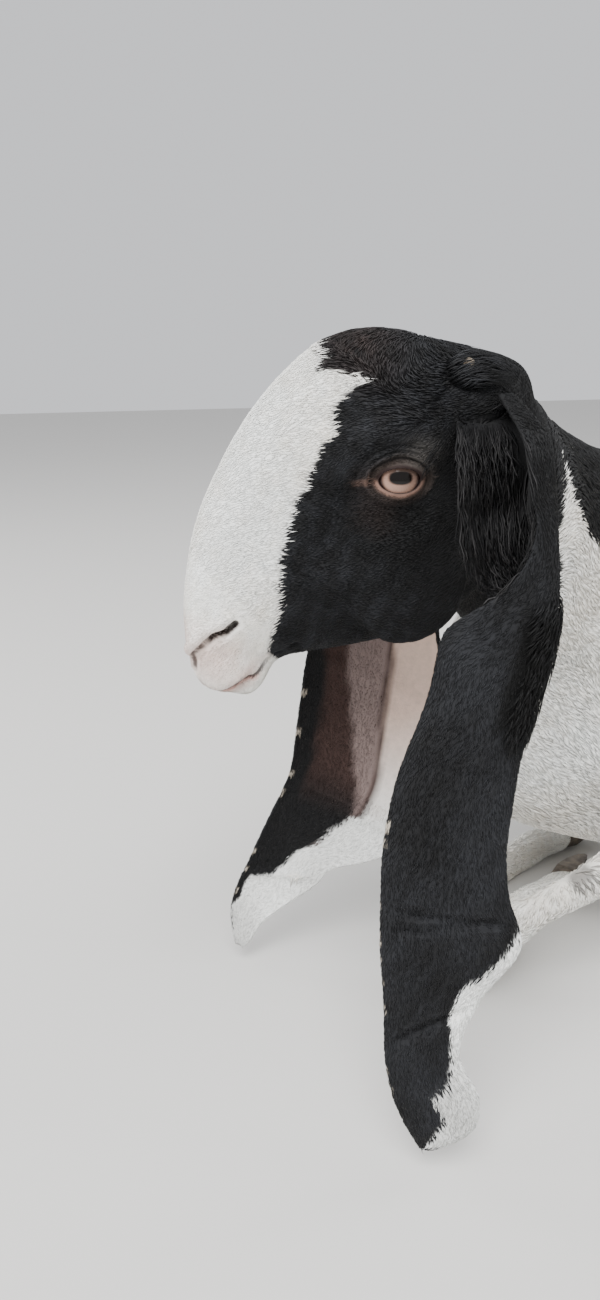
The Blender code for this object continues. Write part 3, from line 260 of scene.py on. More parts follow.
FAR_EAR_ROWS = (
    (0, 0.015, 0.015, 60, 300), (0.05, 0.0185, 0.017, 70, 325), (0.12, 0.02, 0.0175, 75, 320),
    (0.19, 0.0215, 0.0165, 60, 290), (0.25, 0.0235, 0.0155, 35, 250),
    (0.31, 0.027, 0.015, 12, 222), (0.39, 0.0345, 0.0145, 6, 198), (0.46, 0.0385, 0.013, 6, 186),
    (0.56, 0.04, 0.0115, 6, 180), (0.64, 0.039, 0.0098, 8, 175), (0.7, 0.0345, 0.008, 8, 173),
    (0.74, 0.0275, 0.007, 8, 172), (0.77, 0.0215, 0.0063, 8, 172), (0.8, 0.02, 0.0057, 8, 172),
    (0.86, 0.015, 0.0045, 8, 172), (0.93, 0.0085, 0.0034, 8, 172), (0.975, 0.005, 0.0024, 8, 172),
    (1, 0.0022, 0.0014, 8, 172))
EAR_FORE = Vector((0.902, -0.431, 0.0))
EAR_SKIN = 0.0012
EAR_SLANT_FROM = 0.25
EAR_SLANT_TO = 0.62
NEAR_EAR_EDGE = (
    (0, 0.384, 0.1, 0.347), (0.05, 0.3945, 0.125, 0.333), (0.15, 0.395, 0.132, 0.305),
    (0.27, 0.4, 0.137, 0.264), (0.39, 0.411, 0.139, 0.222), (0.52, 0.427, 0.1385, 0.178),
    (0.65, 0.434, 0.143, 0.133), (0.79, 0.435, 0.15, 0.086), (0.93, 0.432, 0.159, 0.038),
    (1, 0.423, 0.166, 0.0145))
FAR_EAR_EDGE = (
    (0, 0.361, 0.04, 0.347), (0.05, 0.358, 0.02, 0.333), (0.15, 0.368, 0.008, 0.308),
    (0.27, 0.383, 0.002, 0.266), (0.39, 0.395, -0.003, 0.224), (0.52, 0.403, -0.006, 0.178),
    (0.65, 0.409, -0.009, 0.128), (0.79, 0.428, -0.018, 0.079), (0.93, 0.441, -0.0245, 0.036),
    (1, 0.439, -0.0235, 0.014))
EARS = {
    "ear_left": (NEAR_EAR_EDGE, NEAR_EAR_ROWS, (0.431, 0.902, 0), 0),
    "ear_right": (FAR_EAR_EDGE, FAR_EAR_ROWS, (-0.431, -0.902, 0), 0.48),
}
# Creases across the ears: share of the length, its change with the depth, width, depth.
EAR_CREASES = (
    (0.655, 0.02, 0.006, 0.0018), (0.682, -0.01, 0.005, 0.0014),
    (0.845, -0.055, 0.009, 0.0026), (0.46, 0.03, 0.01, 0.001))
EAR_DOWN = 150
EAR_ROUND = 44
# A point belongs to an ear when it is this near to the ear's middle sheet and this
# far down it.
EAR_TOUCH = 0.0042
EAR_FROM = 0.045
EAR_MARGIN = 0.01

# The camera of the photograph, in the design frame.
CAMERA_PLACE = Vector((0.6314, 0.4831, 0.3647))
CAMERA_TURN = math.radians(25)
CAMERA_DOWN = math.radians(16.594)
SENSOR = 36
CAMERA_LENS = SENSOR * 1000 / 1300

# Soft lights: name, place, size and power. They look at one place.
LIGHTS = (
    ("key", (1.3, 1.3, 2.2), 1.6, 104),
    ("fill", (1.8, -0.8, 1.2), 1.8, 30),
    ("rim", (-1.4, 0.6, 1.8), 1.4, 26),
)
LIGHTS_AIM = Vector((0.3, 0.05, 0.2))
FLOOR_HALF = 6
FLOOR_COLOUR = (0.62, 0.61, 0.59, 1)
FLOOR_ROUGH = 0.9
SKY_COLOUR = (0.86, 0.87, 0.9, 1)

# Kinds of coat: share of a square metre for each tuft, length, width, lift.
COATS = {
    "trunk": (5.6e-6, 0.013, 0.00165, 0.07),
    "neck": (3.6e-6, 0.01, 0.0013, 0.07),
    "poll": (1.6e-6, 0.0085, 0.00075, 0.08),
    "face": (1.05e-6, 0.0042, 0.00058, 0.07),
    "curl": (5.5e-7, 0.0115, 0.00075, 0.45),
    "muzzle": (7e-7, 0.0022, 0.00042, 0.07),
    "lid": (3.5e-7, 0.0017, 0.00028, 0.08),
    "leg": (4.9e-6, 0.008, 0.00125, 0.08),
    "foot": (2.5e-6, 0.0048, 0.00085, 0.09),
    "tail": (2.6e-6, 0.024, 0.0015, 0.12),
    "ear": (1.7e-6, 0.0044, 0.00064, 0.06),
    "inner": (1.7e-6, 0.0031, 0.00048, 0.06),
    "lobe": (1.6e-6, 0.011, 0.0009, 0.16),
}
# Locks in the ear cups: share of a square metre for each, length, width, lift, wave.
LOCKS = (1.8e-6, 0.024, 0.0009, 0.42, 0.0016)
LOCK_RINGS = 4
# The kinds of coat in the pieces of each part of the body.
COAT_PARTS = {
    "head": ("face", "muzzle", "lid", "poll", "curl"),
    "ear": ("ear", "inner", "lobe"),
    "neck": ("neck",),
    "trunk": ("trunk", "tail"),
    "leg": ("leg", "foot"),
}
TUFTS_A_PIECE = 30000
# Side of the bit of unwrap that each tuft or lock gets, and the body's reach on it.
UV_PATCH = 0.003
UV_REAR = 0.38
UV_LONG = 0.78


def linear(red, green, blue):
    """A colour given in display values, as a shader reads it."""
    share = np.array((red, green, blue)) / 255
    return ((share + 0.055) / 1.055) ** 2.4


WHITE = linear(246, 247, 244)
CREAM = linear(228, 217, 200)
BLACK = linear(20, 20, 21)
# Painted shade: a deeper black for black coat that lies in shade.
SHADED_BLACK = linear(10, 10, 10)
SHEEN_BLACK = linear(35, 36, 39)
LOCK_BLACK = linear(15, 15, 16)
LOCK_GREY = linear(84, 82, 82)
BROWN = linear(58, 45, 40)
GREY = linear(112, 108, 104)
PINK = linear(205, 168, 156)
EAR_PINK = linear(207, 182, 168)
EAR_GREY = linear(128, 112, 108)
EAR_BROWN = linear(62, 46, 42)
DARK = linear(34, 22, 20)
LID_BROWN = linear(70, 60, 55)
LID_PINK = linear(150, 118, 104)
LIP_PINK = linear(196, 150, 140)
# The iris's own tan, and the same iris in the painted shade of the upper lid.
IRIS_TAN = linear(158, 126, 110)
IRIS_SHADED = linear(96, 78, 70)
PUPIL = linear(14, 10, 8)
HORN_PALE = linear(150, 137, 118)
HORN_DARK = linear(66, 57, 50)
CLAW_DARK = linear(58, 52, 48)
CLAW_PALE = linear(128, 116, 102)
# Coat materials: roughness, scale of the fine hair and strength of its bump.
SKIN_LOOK = (0.75, 900, 0.6)
TUFT_LOOK = (0.6, 1500, 0.2)
# Horn materials: pale and dark colour, and scale of the grain.
HORN_LOOK = (HORN_PALE, HORN_DARK, 260)
CLAW_LOOK = (CLAW_PALE, CLAW_DARK, 140)


NOSTRIL_SLIT = (
    (0.166, 0.023, -0.0131), (0.1758, 0.023, -0.0127), (0.1849, 0.021, -0.0116),
    (0.1924, 0.0165, -0.0112), (0.1985, 0.011, -0.015), (0.2015, 0.005, -0.0185))
MOUTH_LINE = {name: path for name, path, _, _ in HEAD_STROKES}["line of the mouth"]


def new_collection(name):
    """A collection in the scene."""
    group = bpy.data.collections.new(name)
    bpy.context.scene.collection.children.link(group)
    return group


def placed(name, data, group):
    """A new object for a mesh, a lamp or a camera."""
    obj = bpy.data.objects.new(name, data)
    group.objects.link(obj)
    return obj


def built(name, bm, group):
    """A new object from a mesh under construction, which is freed."""
    mesh = bpy.data.meshes.new(name)
    bm.to_mesh(mesh)
    bm.free()
    return placed(name, mesh, group)


def new_mesh_object(name, points, faces, group):
    """An object made from points and faces."""
    mesh = bpy.data.meshes.new(name)
    mesh.from_pydata([tuple(p) for p in points], [], [tuple(f) for f in faces])
    mesh.validate()
    return placed(name, mesh, group)


def apply_modifiers(obj):
    """Keep what the modifiers make as the object's mesh."""
    graph = bpy.context.evaluated_depsgraph_get()
    mesh = bpy.data.meshes.new_from_object(obj.evaluated_get(graph))
    obj.modifiers.clear()
    old = obj.data
    obj.data = mesh
    bpy.data.meshes.remove(old)


def smooth_rows(keys, rows, at):
    """Rows read at new keys along a smooth curve through the given ones."""
    keys = np.asarray(keys, float)
    rows = np.asarray(rows, float)
    at = np.asarray(at, float)
    slopes = np.gradient(rows, keys, axis=0)
    place = np.clip(np.searchsorted(keys, at, side="right") - 1, 0, len(keys) - 2)
    span = (keys[place + 1] - keys[place])[:, None]
    t = ((at - keys[place])[:, None]) / span
    start, end = rows[place], rows[place + 1]
    rise, fall = slopes[place] * span, slopes[place + 1] * span
    return (
        (2 * t**3 - 3 * t**2 + 1) * start
        + (t**3 - 2 * t**2 + t) * rise
        + (3 * t**2 - 2 * t**3) * end
        + (t**3 - t**2) * fall
    )


def skin_rings(name, rings, group):
    """A closed tube over rings of points, with a flat face at each end."""
    count, around = len(rings), len(rings[0])
    points = [point for ring in rings for point in ring]
    faces = [tuple(reversed(range(around)))]
    for i in range(count - 1):
        for j in range(around):
            k = (j + 1) % around
            faces.append((i * around + j, i * around + k,
                          (i + 1) * around + k, (i + 1) * around + j))
    faces.append(tuple(range((count - 1) * around, count * around)))
    obj = new_mesh_object(name, points, faces, group)
    face_outward(obj.data)
    return obj


def face_outward(mesh):
    """Turn all faces out."""
    bm = bmesh.new()
    bm.from_mesh(mesh)
    bmesh.ops.recalc_face_normals(bm, faces=bm.faces)
    bm.to_mesh(mesh)
    bm.free()


def egg_section(half_width, top, bottom, middle, top_power, under_power, around=40):
    """Side and height of the points of a section whose upper and lower half differ."""
    angles = np.linspace(0, 2 * math.pi, around, endpoint=False)
    power = np.where(np.sin(angles) >= 0, top_power, under_power)
    side = np.sign(np.cos(angles)) * np.abs(np.cos(angles)) ** (2 / power)
    lift = np.abs(np.sin(angles)) ** (2 / power)
    height = np.where(np.sin(angles) >= 0, middle + (top - middle) * lift,
                      middle - (middle - bottom) * lift)
    return half_width * side, height


def lofted(name, rows, count, ring, group):
    """A tube whose rings follow smooth rows along their first column."""
    rows = np.array(rows)
    at = np.linspace(rows[0, 0], rows[-1, 0], count)
    smooth = smooth_rows(rows[:, 0], rows[:, 1:], at)
    return skin_rings(name, [ring(place, row) for place, row in zip(at, smooth)], group)


def head_ring(reach, row):
    """One section of the head."""
    top, bottom, half_width, middle = row
    side, height = egg_section(half_width, top, bottom, middle, HEAD_TOP_POWER, HEAD_UNDER_POWER)
    return [HEAD_FRAME @ Vector((reach, y, z)) for y, z in zip(side, height)]


def torso_ring(x, row):
    """One section of the trunk."""
    half_width, top, bottom = row
    middle = bottom + TORSO_WIDEST * (top - bottom)
    side, height = egg_section(half_width, top, bottom, middle,
                               TORSO_TOP_POWER, TORSO_UNDER_POWER, TORSO_AROUND)
    return [Vector((x, y, z)) for y, z in zip(side, height)]


def limb(name, rows, group, around=24):
    """A tube with round ends over rows of centre, half width and half height."""
    centres = np.array([centre for centre, _, _ in rows])
    steps = np.r_[0, np.cumsum(np.linalg.norm(np.diff(centres, axis=0), axis=1))]
    at = np.linspace(0, steps[-1], max(12, int(steps[-1] / LIMB_STEP)))
    path = smooth_rows(steps, centres, at)
    size = smooth_rows(steps, [row[1:] for row in rows], at)
    tangents = unit(np.gradient(path, axis=0))
    angles = np.linspace(0, 2 * math.pi, around, endpoint=False)

    def ring(centre, tangent, half_width, half_height):
        across = np.cross((0, 0, 1), tangent)
        across /= np.linalg.norm(across)
        over = np.cross(tangent, across)
        return [Vector(centre + across * half_width * math.cos(a)
                       + over * half_height * math.sin(a)) for a in angles]

    def cap(end, sign):
        """The rings that round off one end, from the outermost inwards."""
        rings = []
        for tilt in (75, 50, 25):
            t = math.radians(tilt)
            reach = size[end].mean() * math.sin(t)
            rings.append(ring(path[end] + sign * tangents[end] * reach, tangents[end],
                              size[end][0] * math.cos(t), size[end][1] * math.cos(t)))
        return rings

    tube = [ring(p, t, s[0], s[1]) for p, t, s in zip(path, tangents, size)]
    return skin_rings(name, cap(0, -1) + tube + cap(-1, 1)[::-1], group)


def ellipsoid(name, centre, radii, turn, group):
    """A ball in the head's frame, stretched along its axes and turned about the side axis."""
    bm = bmesh.new()
    bmesh.ops.create_icosphere(bm, subdivisions=3, radius=1)
    place = (HEAD_FRAME @ Matrix.Translation(centre)
             @ Matrix.Rotation(math.radians(turn), 4, "Y") @ Matrix.Diagonal((*radii, 1)))
    bmesh.ops.transform(bm, matrix=place, verts=bm.verts)
    return built(name, bm, group)


def joined(name, pieces, group):
    """One object holding the meshes of the pieces, which are removed."""
    bm = bmesh.new()
    for piece in pieces:
        bm.from_mesh(piece.data)
        bpy.data.objects.remove(piece, do_unlink=True)
    return built(name, bm, group)


def mesh_points(mesh):
    """Vertex places and normals as arrays."""
    places = np.empty(len(mesh.vertices) * 3)
    mesh.vertices.foreach_get("co", places)
    normals = np.empty(len(mesh.vertices) * 3)
    mesh.vertices.foreach_get("normal", normals)
    return places.reshape(-1, 3), normals.reshape(-1, 3)


def unit(vectors, least=1e-9):
    """Vectors at length 1."""
    return vectors / np.maximum(np.linalg.norm(vectors, axis=-1, keepdims=True), least)


def stroke_weight(points, path, radius):
    """How strongly a round brush drawn along a path touches each point."""
    nearest = np.full(len(points), np.inf)
    path = np.array(path)
    for start, end in zip(path[:-1], path[1:]):
        along = end - start
        share = np.clip((points - start) @ along / (along @ along), 0, 1)
        distance = np.linalg.norm(points - start - share[:, None] * along, axis=1)
        nearest = np.minimum(nearest, distance)
    return np.clip(1 - (nearest / radius) ** 2, 0, None) ** 2


def head_local(places, fold=True):
    """Places in the head's own frame, folded onto its left side if asked."""
    inverse = np.array(HEAD_FRAME.inverted())
    local = places @ inverse[:3, :3].T + inverse[:3, 3]
    if fold:
        local[:, 1] = np.abs(local[:, 1])
    return local


def apart(points, place):
    """The distance of each point from a place."""
    return np.linalg.norm(points - np.array(place), axis=1)


def on_side(place, sign):
    """A place of the head's frame on its left side, 1, or its right side, -1."""
    return place[0], sign * place[1], place[2]


def edge_pairs(mesh):
    """The two ends of each edge."""
    pairs = np.empty(len(mesh.edges) * 2, np.int64)
    mesh.edges.foreach_get("vertices", pairs)
    return pairs.reshape(-1, 2)


def relaxed(places, pairs, weight, rounds):
    """Places drawn towards the mean of their neighbours, half way in each round."""
    count = len(places)
    a, b = pairs[:, 0], pairs[:, 1]
    degree = np.bincount(a, minlength=count) + np.bincount(b, minlength=count)
    pull = (0.5 * weight / np.maximum(degree, 1))[:, None]
    keep = 1 - 0.5 * weight[:, None]
    for _ in range(rounds):
        mean = np.empty_like(places)
        for axis in range(3):
            column = places[:, axis]
            mean[:, axis] = (np.bincount(a, column[b], count)
                             + np.bincount(b, column[a], count))
        places = keep * places + pull * mean
    return places


def set_points(obj, places):
    """Move a mesh's vertices."""
    obj.data.vertices.foreach_set("co", np.ascontiguousarray(places, np.float32).ravel())
    obj.data.update()


def blend_weight(places):
    """How freely each point may be smoothed: not on the face, and not on the feet."""
    local = head_local(places)
    behind = np.clip((FACE_REAR - local[:, 0]) / FACE_FADE, 0, 1)
    far = np.clip((apart(local, FACE_MIDDLE) - FACE_REACH) / FACE_FADE, 0, 1)
    raised = np.clip((places[:, 2] - FEET_HEIGHT) / FEET_FADE, 0, 1)
    return np.maximum(behind, far) * raised


def mirrored(rows, shift=(0, 0, 0)):
    """The rows of a left limb as rows of the right one, moved by a shift."""
    dx, dy, dz = shift
    return tuple(((x + dx, dy - y, z + dz), wide, high) for (x, y, z), wide, high in rows)


def leg_rows(end, side):
    """The rows of the tubes of one folded leg, from the body to the foot."""
    if end == "fore":
        return FOREARM_ROWS[side], CANNON_ROWS[side]
    sets = (THIGH_ROWS, GASKIN_ROWS, SHANK_ROWS)
    return sets if side == "left" else [mirrored(rows, HIND_RIGHT_SHIFT) for rows in sets]


def limb_tubes(group):
    """The neck, the tail, the upper arms and the folded legs as closed tubes."""
    tubes = {"neck_tube": NECK_ROWS, "tail_tube": TAIL_ROWS, "upper_arm_left": UPPER_ARM_ROWS,
             "upper_arm_right": mirrored(UPPER_ARM_ROWS)}
    for end in ("fore", "hind"):
        for side in ("left", "right"):
            for i, rows in enumerate(leg_rows(end, side)):
                tubes[f"{end}_{side}_{i}"] = rows
    return [limb(name, rows, group) for name, rows in tubes.items()]


def head_pieces(group):
    """The closed forms that make the head, the balls of the lids last."""
    pieces = [lofted("head_loft", HEAD_ROWS, HEAD_RINGS, head_ring, group)]
    lids = (EYE_CENTRE, (EYE_RADIUS + LID_COVER,) * 3, 0)
    for i, (centre, radii, turn) in enumerate((*HEAD_FORMS, lids)):
        for sign in (1, -1) if centre[1] else (1,):
            place = on_side(centre, sign)
            pieces.append(ellipsoid(f"form_{i}_{sign}", place, radii, turn, group))
    return pieces


def fused_flesh(group):
    """Head, neck, trunk, legs and tail as one smooth skin, before its details."""
    torso = lofted("torso_loft", TORSO_ROWS, TORSO_RINGS, torso_ring, group)
    skin = joined("skin", head_pieces(group) + [torso] + limb_tubes(group), group)
    remesh = skin.modifiers.new("fuse", "REMESH")
    remesh.mode = "VOXEL"
    remesh.voxel_size = SKIN_VOXEL
    apply_modifiers(skin)
    places, _ = mesh_points(skin.data)
    pairs = edge_pairs(skin.data)
    finer = (PART_VOXEL / SKIN_VOXEL) ** 2
    places = relaxed(places, pairs, np.ones(len(places)), round(6 * finer))
    places = relaxed(places, pairs, blend_weight(places), round(BLEND_ROUNDS * finer))
    set_points(skin, places)
    return skin


def refine(obj, near):
    """Split the faces that lie where near says, and even them out."""
    bm = bmesh.new()
    bm.from_mesh(obj.data)
    inside = near(mesh_points(obj.data)[0])
    edges = [e for e in bm.edges if inside[e.verts[0].index] and inside[e.verts[1].index]]
    bmesh.ops.subdivide_edges(bm, edges=edges, cuts=1, use_grid_fill=True)
    bm.to_mesh(obj.data)
    bm.free()
    places, _ = mesh_points(obj.data)
    set_points(obj, relaxed(places, edge_pairs(obj.data), near(places).astype(float), 3))


def along_slit(s, t):
    """Offsets from the eye's middle, turned to run forward along the slit and up across it."""
    cos, sin = math.cos(LID_SLIT_TURN), math.sin(LID_SLIT_TURN)
    return s * cos + t * sin, t * cos - s * sin


def eye_plane(local):
    """Places beside the eye: along the slit, across it, and the ray distance to its rim."""
    u, v = along_slit(local[:, 0] - EYE_CENTRE[0], local[:, 2] - EYE_CENTRE[2])
    ratio = np.hypot(u / (0.5 * LID_SLIT_LONG), v / (0.5 * LID_SLIT_HIGH))
    return u, v, np.hypot(u, v) * (1 - 1 / np.maximum(ratio, 1e-6))


def bump(value, centre, width):
    """A smooth hill of height 1."""
    return np.exp(-((value - centre) / width) ** 2)


def step(value, start, end):
    """0 before start, 1 after end, smooth between."""
    share = np.clip((value - start) / (end - start), 0, 1)
    return share * share * (3 - 2 * share)


def ripple(points, size, seed):
    """Soft random waves through space, between about -1 and 1."""
    draw = np.random.default_rng(seed)
    total = np.zeros(len(points))
    for _ in range(6):
        way = draw.normal(size=3)
        way *= 2 * math.pi * draw.uniform(0.6, 1.6) / (size * np.linalg.norm(way))
        total += np.sin(points @ way + draw.uniform(0, 2 * math.pi))
    return total / 3


def sculpt(skin):
    """Draw the strokes of the head and the trunk on both sides."""
    places, normals = mesh_points(skin.data)
    folded = np.column_stack([places[:, 0], np.abs(places[:, 1]), places[:, 2]])
    push = np.zeros(len(places))
    for points, strokes in ((head_local(places), HEAD_STROKES), (folded, BODY_STROKES)):
        for _, path, radius, height in strokes:
            push += height * stroke_weight(points, path, radius)
    set_points(skin, places + normals * push[:, None])


def on_skin(skin, path, count=28):
    """A path of the head's own frame, brought onto the skin's left side."""
    tree = BVHTree.FromObject(skin, bpy.context.evaluated_depsgraph_get())
    path = np.array(path)
    reach = np.r_[0, np.cumsum(np.linalg.norm(np.diff(path, axis=0), axis=1))]
    points = smooth_rows(reach, path, np.linspace(0, reach[-1], count))
    back = HEAD_FRAME.inverted()
    return [tuple(back @ tree.find_nearest(HEAD_FRAME @ Vector(point))[0]) for point in points]


def carve_muzzle(skin):
    """Sink the nostrils, deepest at their upper ends, and the line between the lips."""
    slit = on_skin(skin, NOSTRIL_SLIT)
    mouth = on_skin(skin, MOUTH_LINE)
    places, normals = mesh_points(skin.data)
    local = head_local(places)
    rear = step(local[:, 0], 0.197, 0.176)
    push = np.zeros(len(places))
    for line, shift, radius, height, share in (
            (slit, (0, 0, 0), 0.0027, -0.0042, rear), (slit, (0, 0, 0), 0.0016, -0.0012, 1),
            (slit, (0, 0, -0.0042), 0.0034, 0.0011, 1), (mouth, (0, 0, 0), 0.0015, -0.0014, 1),
            (mouth, (0.001, 0, -0.0028), 0.0026, 0.0005, 1)):
        push += height * stroke_weight(local + np.array(shift), line, radius) * share
    set_points(skin, places + normals * push[:, None])
    return slit, mouth


def open_lids(skin):
    """Open the lids over both eyes, with a thick rim and folds round it."""
    places, _ = mesh_points(skin.data)
    local = head_local(places, fold=False)
    sign = np.sign(local[:, 1])
    side = np.abs(local[:, 1])
    u, v, rim = eye_plane(local)
    near = (rim < 0.016) & (side > 0.02) & (np.hypot(u, v) < 0.03)
    ball = np.sqrt(np.clip(EYE_RADIUS ** 2 - u ** 2 - v ** 2, 0, None)) + EYE_CENTRE[1]
    upper = step(v, -0.001, 0.002)
    margin = ball + 0.0009 + 0.0009 * upper
    hold = step(rim, 0.0062, 0.001)
    target = side * (1 - hold) + (margin + 0.0004 * bump(rim, 0.0009, 0.0007)) * hold
    pocket = ball - 0.0034
    shift = np.where(rim > 0, target, pocket) - side
    above, below = (sum(deep * bump(rim, place, wide) for place, wide, deep in rows)
                    for rows in (UPPER_FOLDS, LOWER_FOLDS))
    folds = above * upper + below * (1 - upper)
    shift -= np.where(rim > 0, folds, 0)
    side = side + np.where(near, shift, 0)
    local[:, 1] = sign * side
    matrix = np.array(HEAD_FRAME)
    set_points(skin, local @ matrix[:3, :3].T + matrix[:3, 3])


def ear_sheet(name, down, across):
    """The middle sheet of an ear as a grid of points, with each one's place along and across."""
    edge_rows, size_rows, outward, slant = EARS[name]
    edge, form = np.array(edge_rows), np.array(size_rows)
    shares = 1 - (1 - np.linspace(0, 1, down)) ** 1.15
    front = smooth_rows(edge[:, 0], edge[:, 1:], shares)
    size = smooth_rows(form[:, 0], form[:, 1:], shares)
    fore, out = np.array(EAR_FORE), np.array(outward)
    drop = slant * np.clip((shares - EAR_SLANT_FROM) / (EAR_SLANT_TO - EAR_SLANT_FROM), 0, 1)
    turn = np.linspace(0, 1, across)
    angles = np.radians(size[:, 2:3] + (size[:, 3:4] - size[:, 2:3]) * turn)
    width = (fore + np.stack([0 * drop, 0 * drop, drop], 1)) * size[:, :1]
    grid = (front - width)[:, None] + width[:, None] * np.cos(angles)[..., None]
    grid += out * (size[:, 1:2] * np.sin(angles))[..., None]
    depth = (1 - np.cos(angles)) / 2
    return grid, np.repeat(shares[:, None], across, 1), depth, np.repeat(turn[None], down, 0)


def sheet_normals(grid, outward):
    """Unit normals of a grid, on its outer side."""
    normals = unit(np.cross(np.gradient(grid, axis=0), np.gradient(grid, axis=1)))
    return normals * np.sign((normals[len(grid) // 2:] @ np.array(outward)).mean())


def ear_solid(name, group):
    """An ear as a closed sheet: thin at its rims, with soft creases across it."""
    grid, along, depth, turn = ear_sheet(name, EAR_DOWN, EAR_ROUND)
    normals = sheet_normals(grid, EARS[name][2])
    crease = sum(deep * bump(along, place + slope * depth, wide)
                 for place, slope, wide, deep in EAR_CREASES) * step(along, 0.3, 0.4)
    crease *= step(depth, 0.02, 0.2) * step(1 - depth, 0.02, 0.25)
    wave = 0.0007 * ripple(grid.reshape(-1, 3), 0.045, SEED).reshape(along.shape)
    middle = grid + normals * (wave * step(along, 0.1, 0.3) - crease)[..., None]
    rim = np.sqrt(np.clip(np.sin(math.pi * np.clip(turn, 0.004, 0.996)), 0, 1))
    tip = np.sqrt(np.clip((1 - along) / 0.02, 0.05, 1))
    thick = (EAR_SKIN * (0.35 + 0.65 * rim) * tip)[..., None]
    count = EAR_DOWN * EAR_ROUND
    points = np.concatenate([(middle + normals * thick).reshape(-1, 3),
                             (middle - normals * thick).reshape(-1, 3)])
    index = np.arange(count).reshape(EAR_DOWN, EAR_ROUND)
    a, b, c, d = index[:-1, :-1], index[:-1, 1:], index[1:, 1:], index[1:, :-1]
    outer = np.stack([a, b, c, d], -1).reshape(-1, 4)
    faces = outer.tolist() + (outer[:, ::-1] + count).tolist()
    loop = np.concatenate([index[0], index[1:, -1], index[-1, -2::-1], index[-2:0:-1, 0]])
    for i, j in zip(loop, np.roll(loop, -1)):
        faces.append([int(i), int(i) + count, int(j) + count, int(j)])
    ear = new_mesh_object(name + "_skin", points, faces, group)
    face_outward(ear.data)
    return ear


def thin_by_coat(skin):
    """Draw the skin in by the depth of the coat."""
    places, normals = mesh_points(skin.data)
    set_points(skin, places - normals * coat_depth(places)[:, None])


def coat_depth(places):
    """How far the skin lies under the coat's surface."""
    local = head_local(places)
    depth = FACE_COAT + BODY_COAT * step(apart(local, COAT_MIDDLE), 0.09, 0.16)
    low = step(places[:, 2], 0.045, 0.005)
    return depth * (1 - 0.75 * low) * step(local[:, 0], 0.2, 0.175)


def add_ears(skin, group):
    """Fuse the ears to the head."""
    for name in EARS:
        ear = ear_solid(name, group)
        union = skin.modifiers.new("ear", "BOOLEAN")
        union.operation = "UNION"
        union.object = ear
        union.solver = "MANIFOLD"
        apply_modifiers(skin)
        bpy.data.objects.remove(ear, do_unlink=True)


def build_skin(group):
    """The one skin of the goat, and the lines of its nostrils and mouth."""
    skin = fused_flesh(group)
    refine(skin, face_zone)
    sculpt(skin)
    thin_by_coat(skin)
    refine(skin, fine_zone)
    refine(skin, lid_zone)
    lines = carve_muzzle(skin)
    open_lids(skin)
    rest_on_floor(skin)
    add_ears(skin, group)
    return skin, lines


def rest_on_floor(skin):
    """Flatten what would lie under the floor, softly."""
    places, _ = mesh_points(skin.data)
    low = np.clip(FLOOR_SOFT - places[:, 2], 0, None)
    places[:, 2] = np.maximum(places[:, 2], SKIN_FLOOR)
    places[:, 2] += np.where(low > 0, FLOOR_SOFT * np.exp(-low / FLOOR_SOFT) * FLOOR_LIFT, 0)
    set_points(skin, places)


def face_zone(places):
    """Where the head needs a finer skin."""
    local = head_local(places)
    return (local[:, 0] > -0.01) & (local[:, 1] < 0.06) & (local[:, 2] > -0.1)


def lid_zone(places):
    """Close round the eyes."""
    local = head_local(places)
    u, v, _ = eye_plane(local)
    return (np.hypot(u, v) < 0.017) & (local[:, 1] > 0.022)


def fine_zone(places):
    """Round the eyes, and the muzzle from the nostrils to the chin."""
    local = head_local(places)
    u, v, _ = eye_plane(local)
    eyes = (np.hypot(u, v) < 0.026) & (local[:, 1] > 0.02)
    return eyes | ((local[:, 0] > 0.158) & (local[:, 1] < 0.04))


# Places of the head's own frame: the middle of the black throat, and a horn bud.
THROAT = (0.08, 0.012, -0.1)
THROAT_REACH = 0.045
HORN_PLACE = (0.015, 0.0325, -0.0035)
# The grey spot on the near forearm, in the design frame.
GREY_SPOT = (0.2725, 0.0881, 0.0809)
# Soft spots of colour on the head: a path and its reach.
NOSE_SPOT = (((0.196, 0.004, -0.006), (0.186, 0.018, -0.018)), 0.024)
LIPS_SPOT = (((0.2, 0.004, -0.03), (0.186, 0.016, -0.038), (0.168, 0.019, -0.041)), 0.01)
POLL_SPOT = (((0.03, 0, 0.04), (0.04, 0.02, 0.036)), 0.03)
FRONT_SPOT = (((0.078, 0.044, -0.01), (0.086, 0.04, -0.018)), 0.016)
TEAR_SPOT = (((0.075, 0.044, -0.008), (0.0843, 0.04, -0.0031)), 0.0038)
# Borders of the markings in the head's own frame. The blaze's border: its height
# for each place along the head.
BLAZE_EDGE = (
    (0.0487, 0.0255), (0.0514, 0.0247), (0.06, 0.0264), (0.0648, 0.0259), (0.0696, 0.0236),
    (0.0738, 0.0176), (0.0804, 0.0186), (0.0855, 0.0166), (0.0922, 0.0139), (0.0996, 0.01),
    (0.1052, 0.0097), (0.1128, 0.0052), (0.1194, 0.0017), (0.1233, -0.0021), (0.1308, -0.0051),
    (0.1331, -0.0087), (0.1398, -0.0141), (0.1485, -0.0229), (0.1556, -0.0269), (0.1662, -0.0345),
    (0.1725, -0.0391))
# Where the blaze starts along the head, by the distance from its middle line.
BLAZE_FRONT = (
    (0, 0.0522), (0.003, 0.0525), (0.0109, 0.0537), (0.0164, 0.0543), (0.0195, 0.0575),
    (0.0207, 0.0603), (0.0229, 0.0583), (0.0246, 0.0556), (0.0294, 0.0498), (0.0319, 0.0487))
WHITE_MUZZLE = 0.167
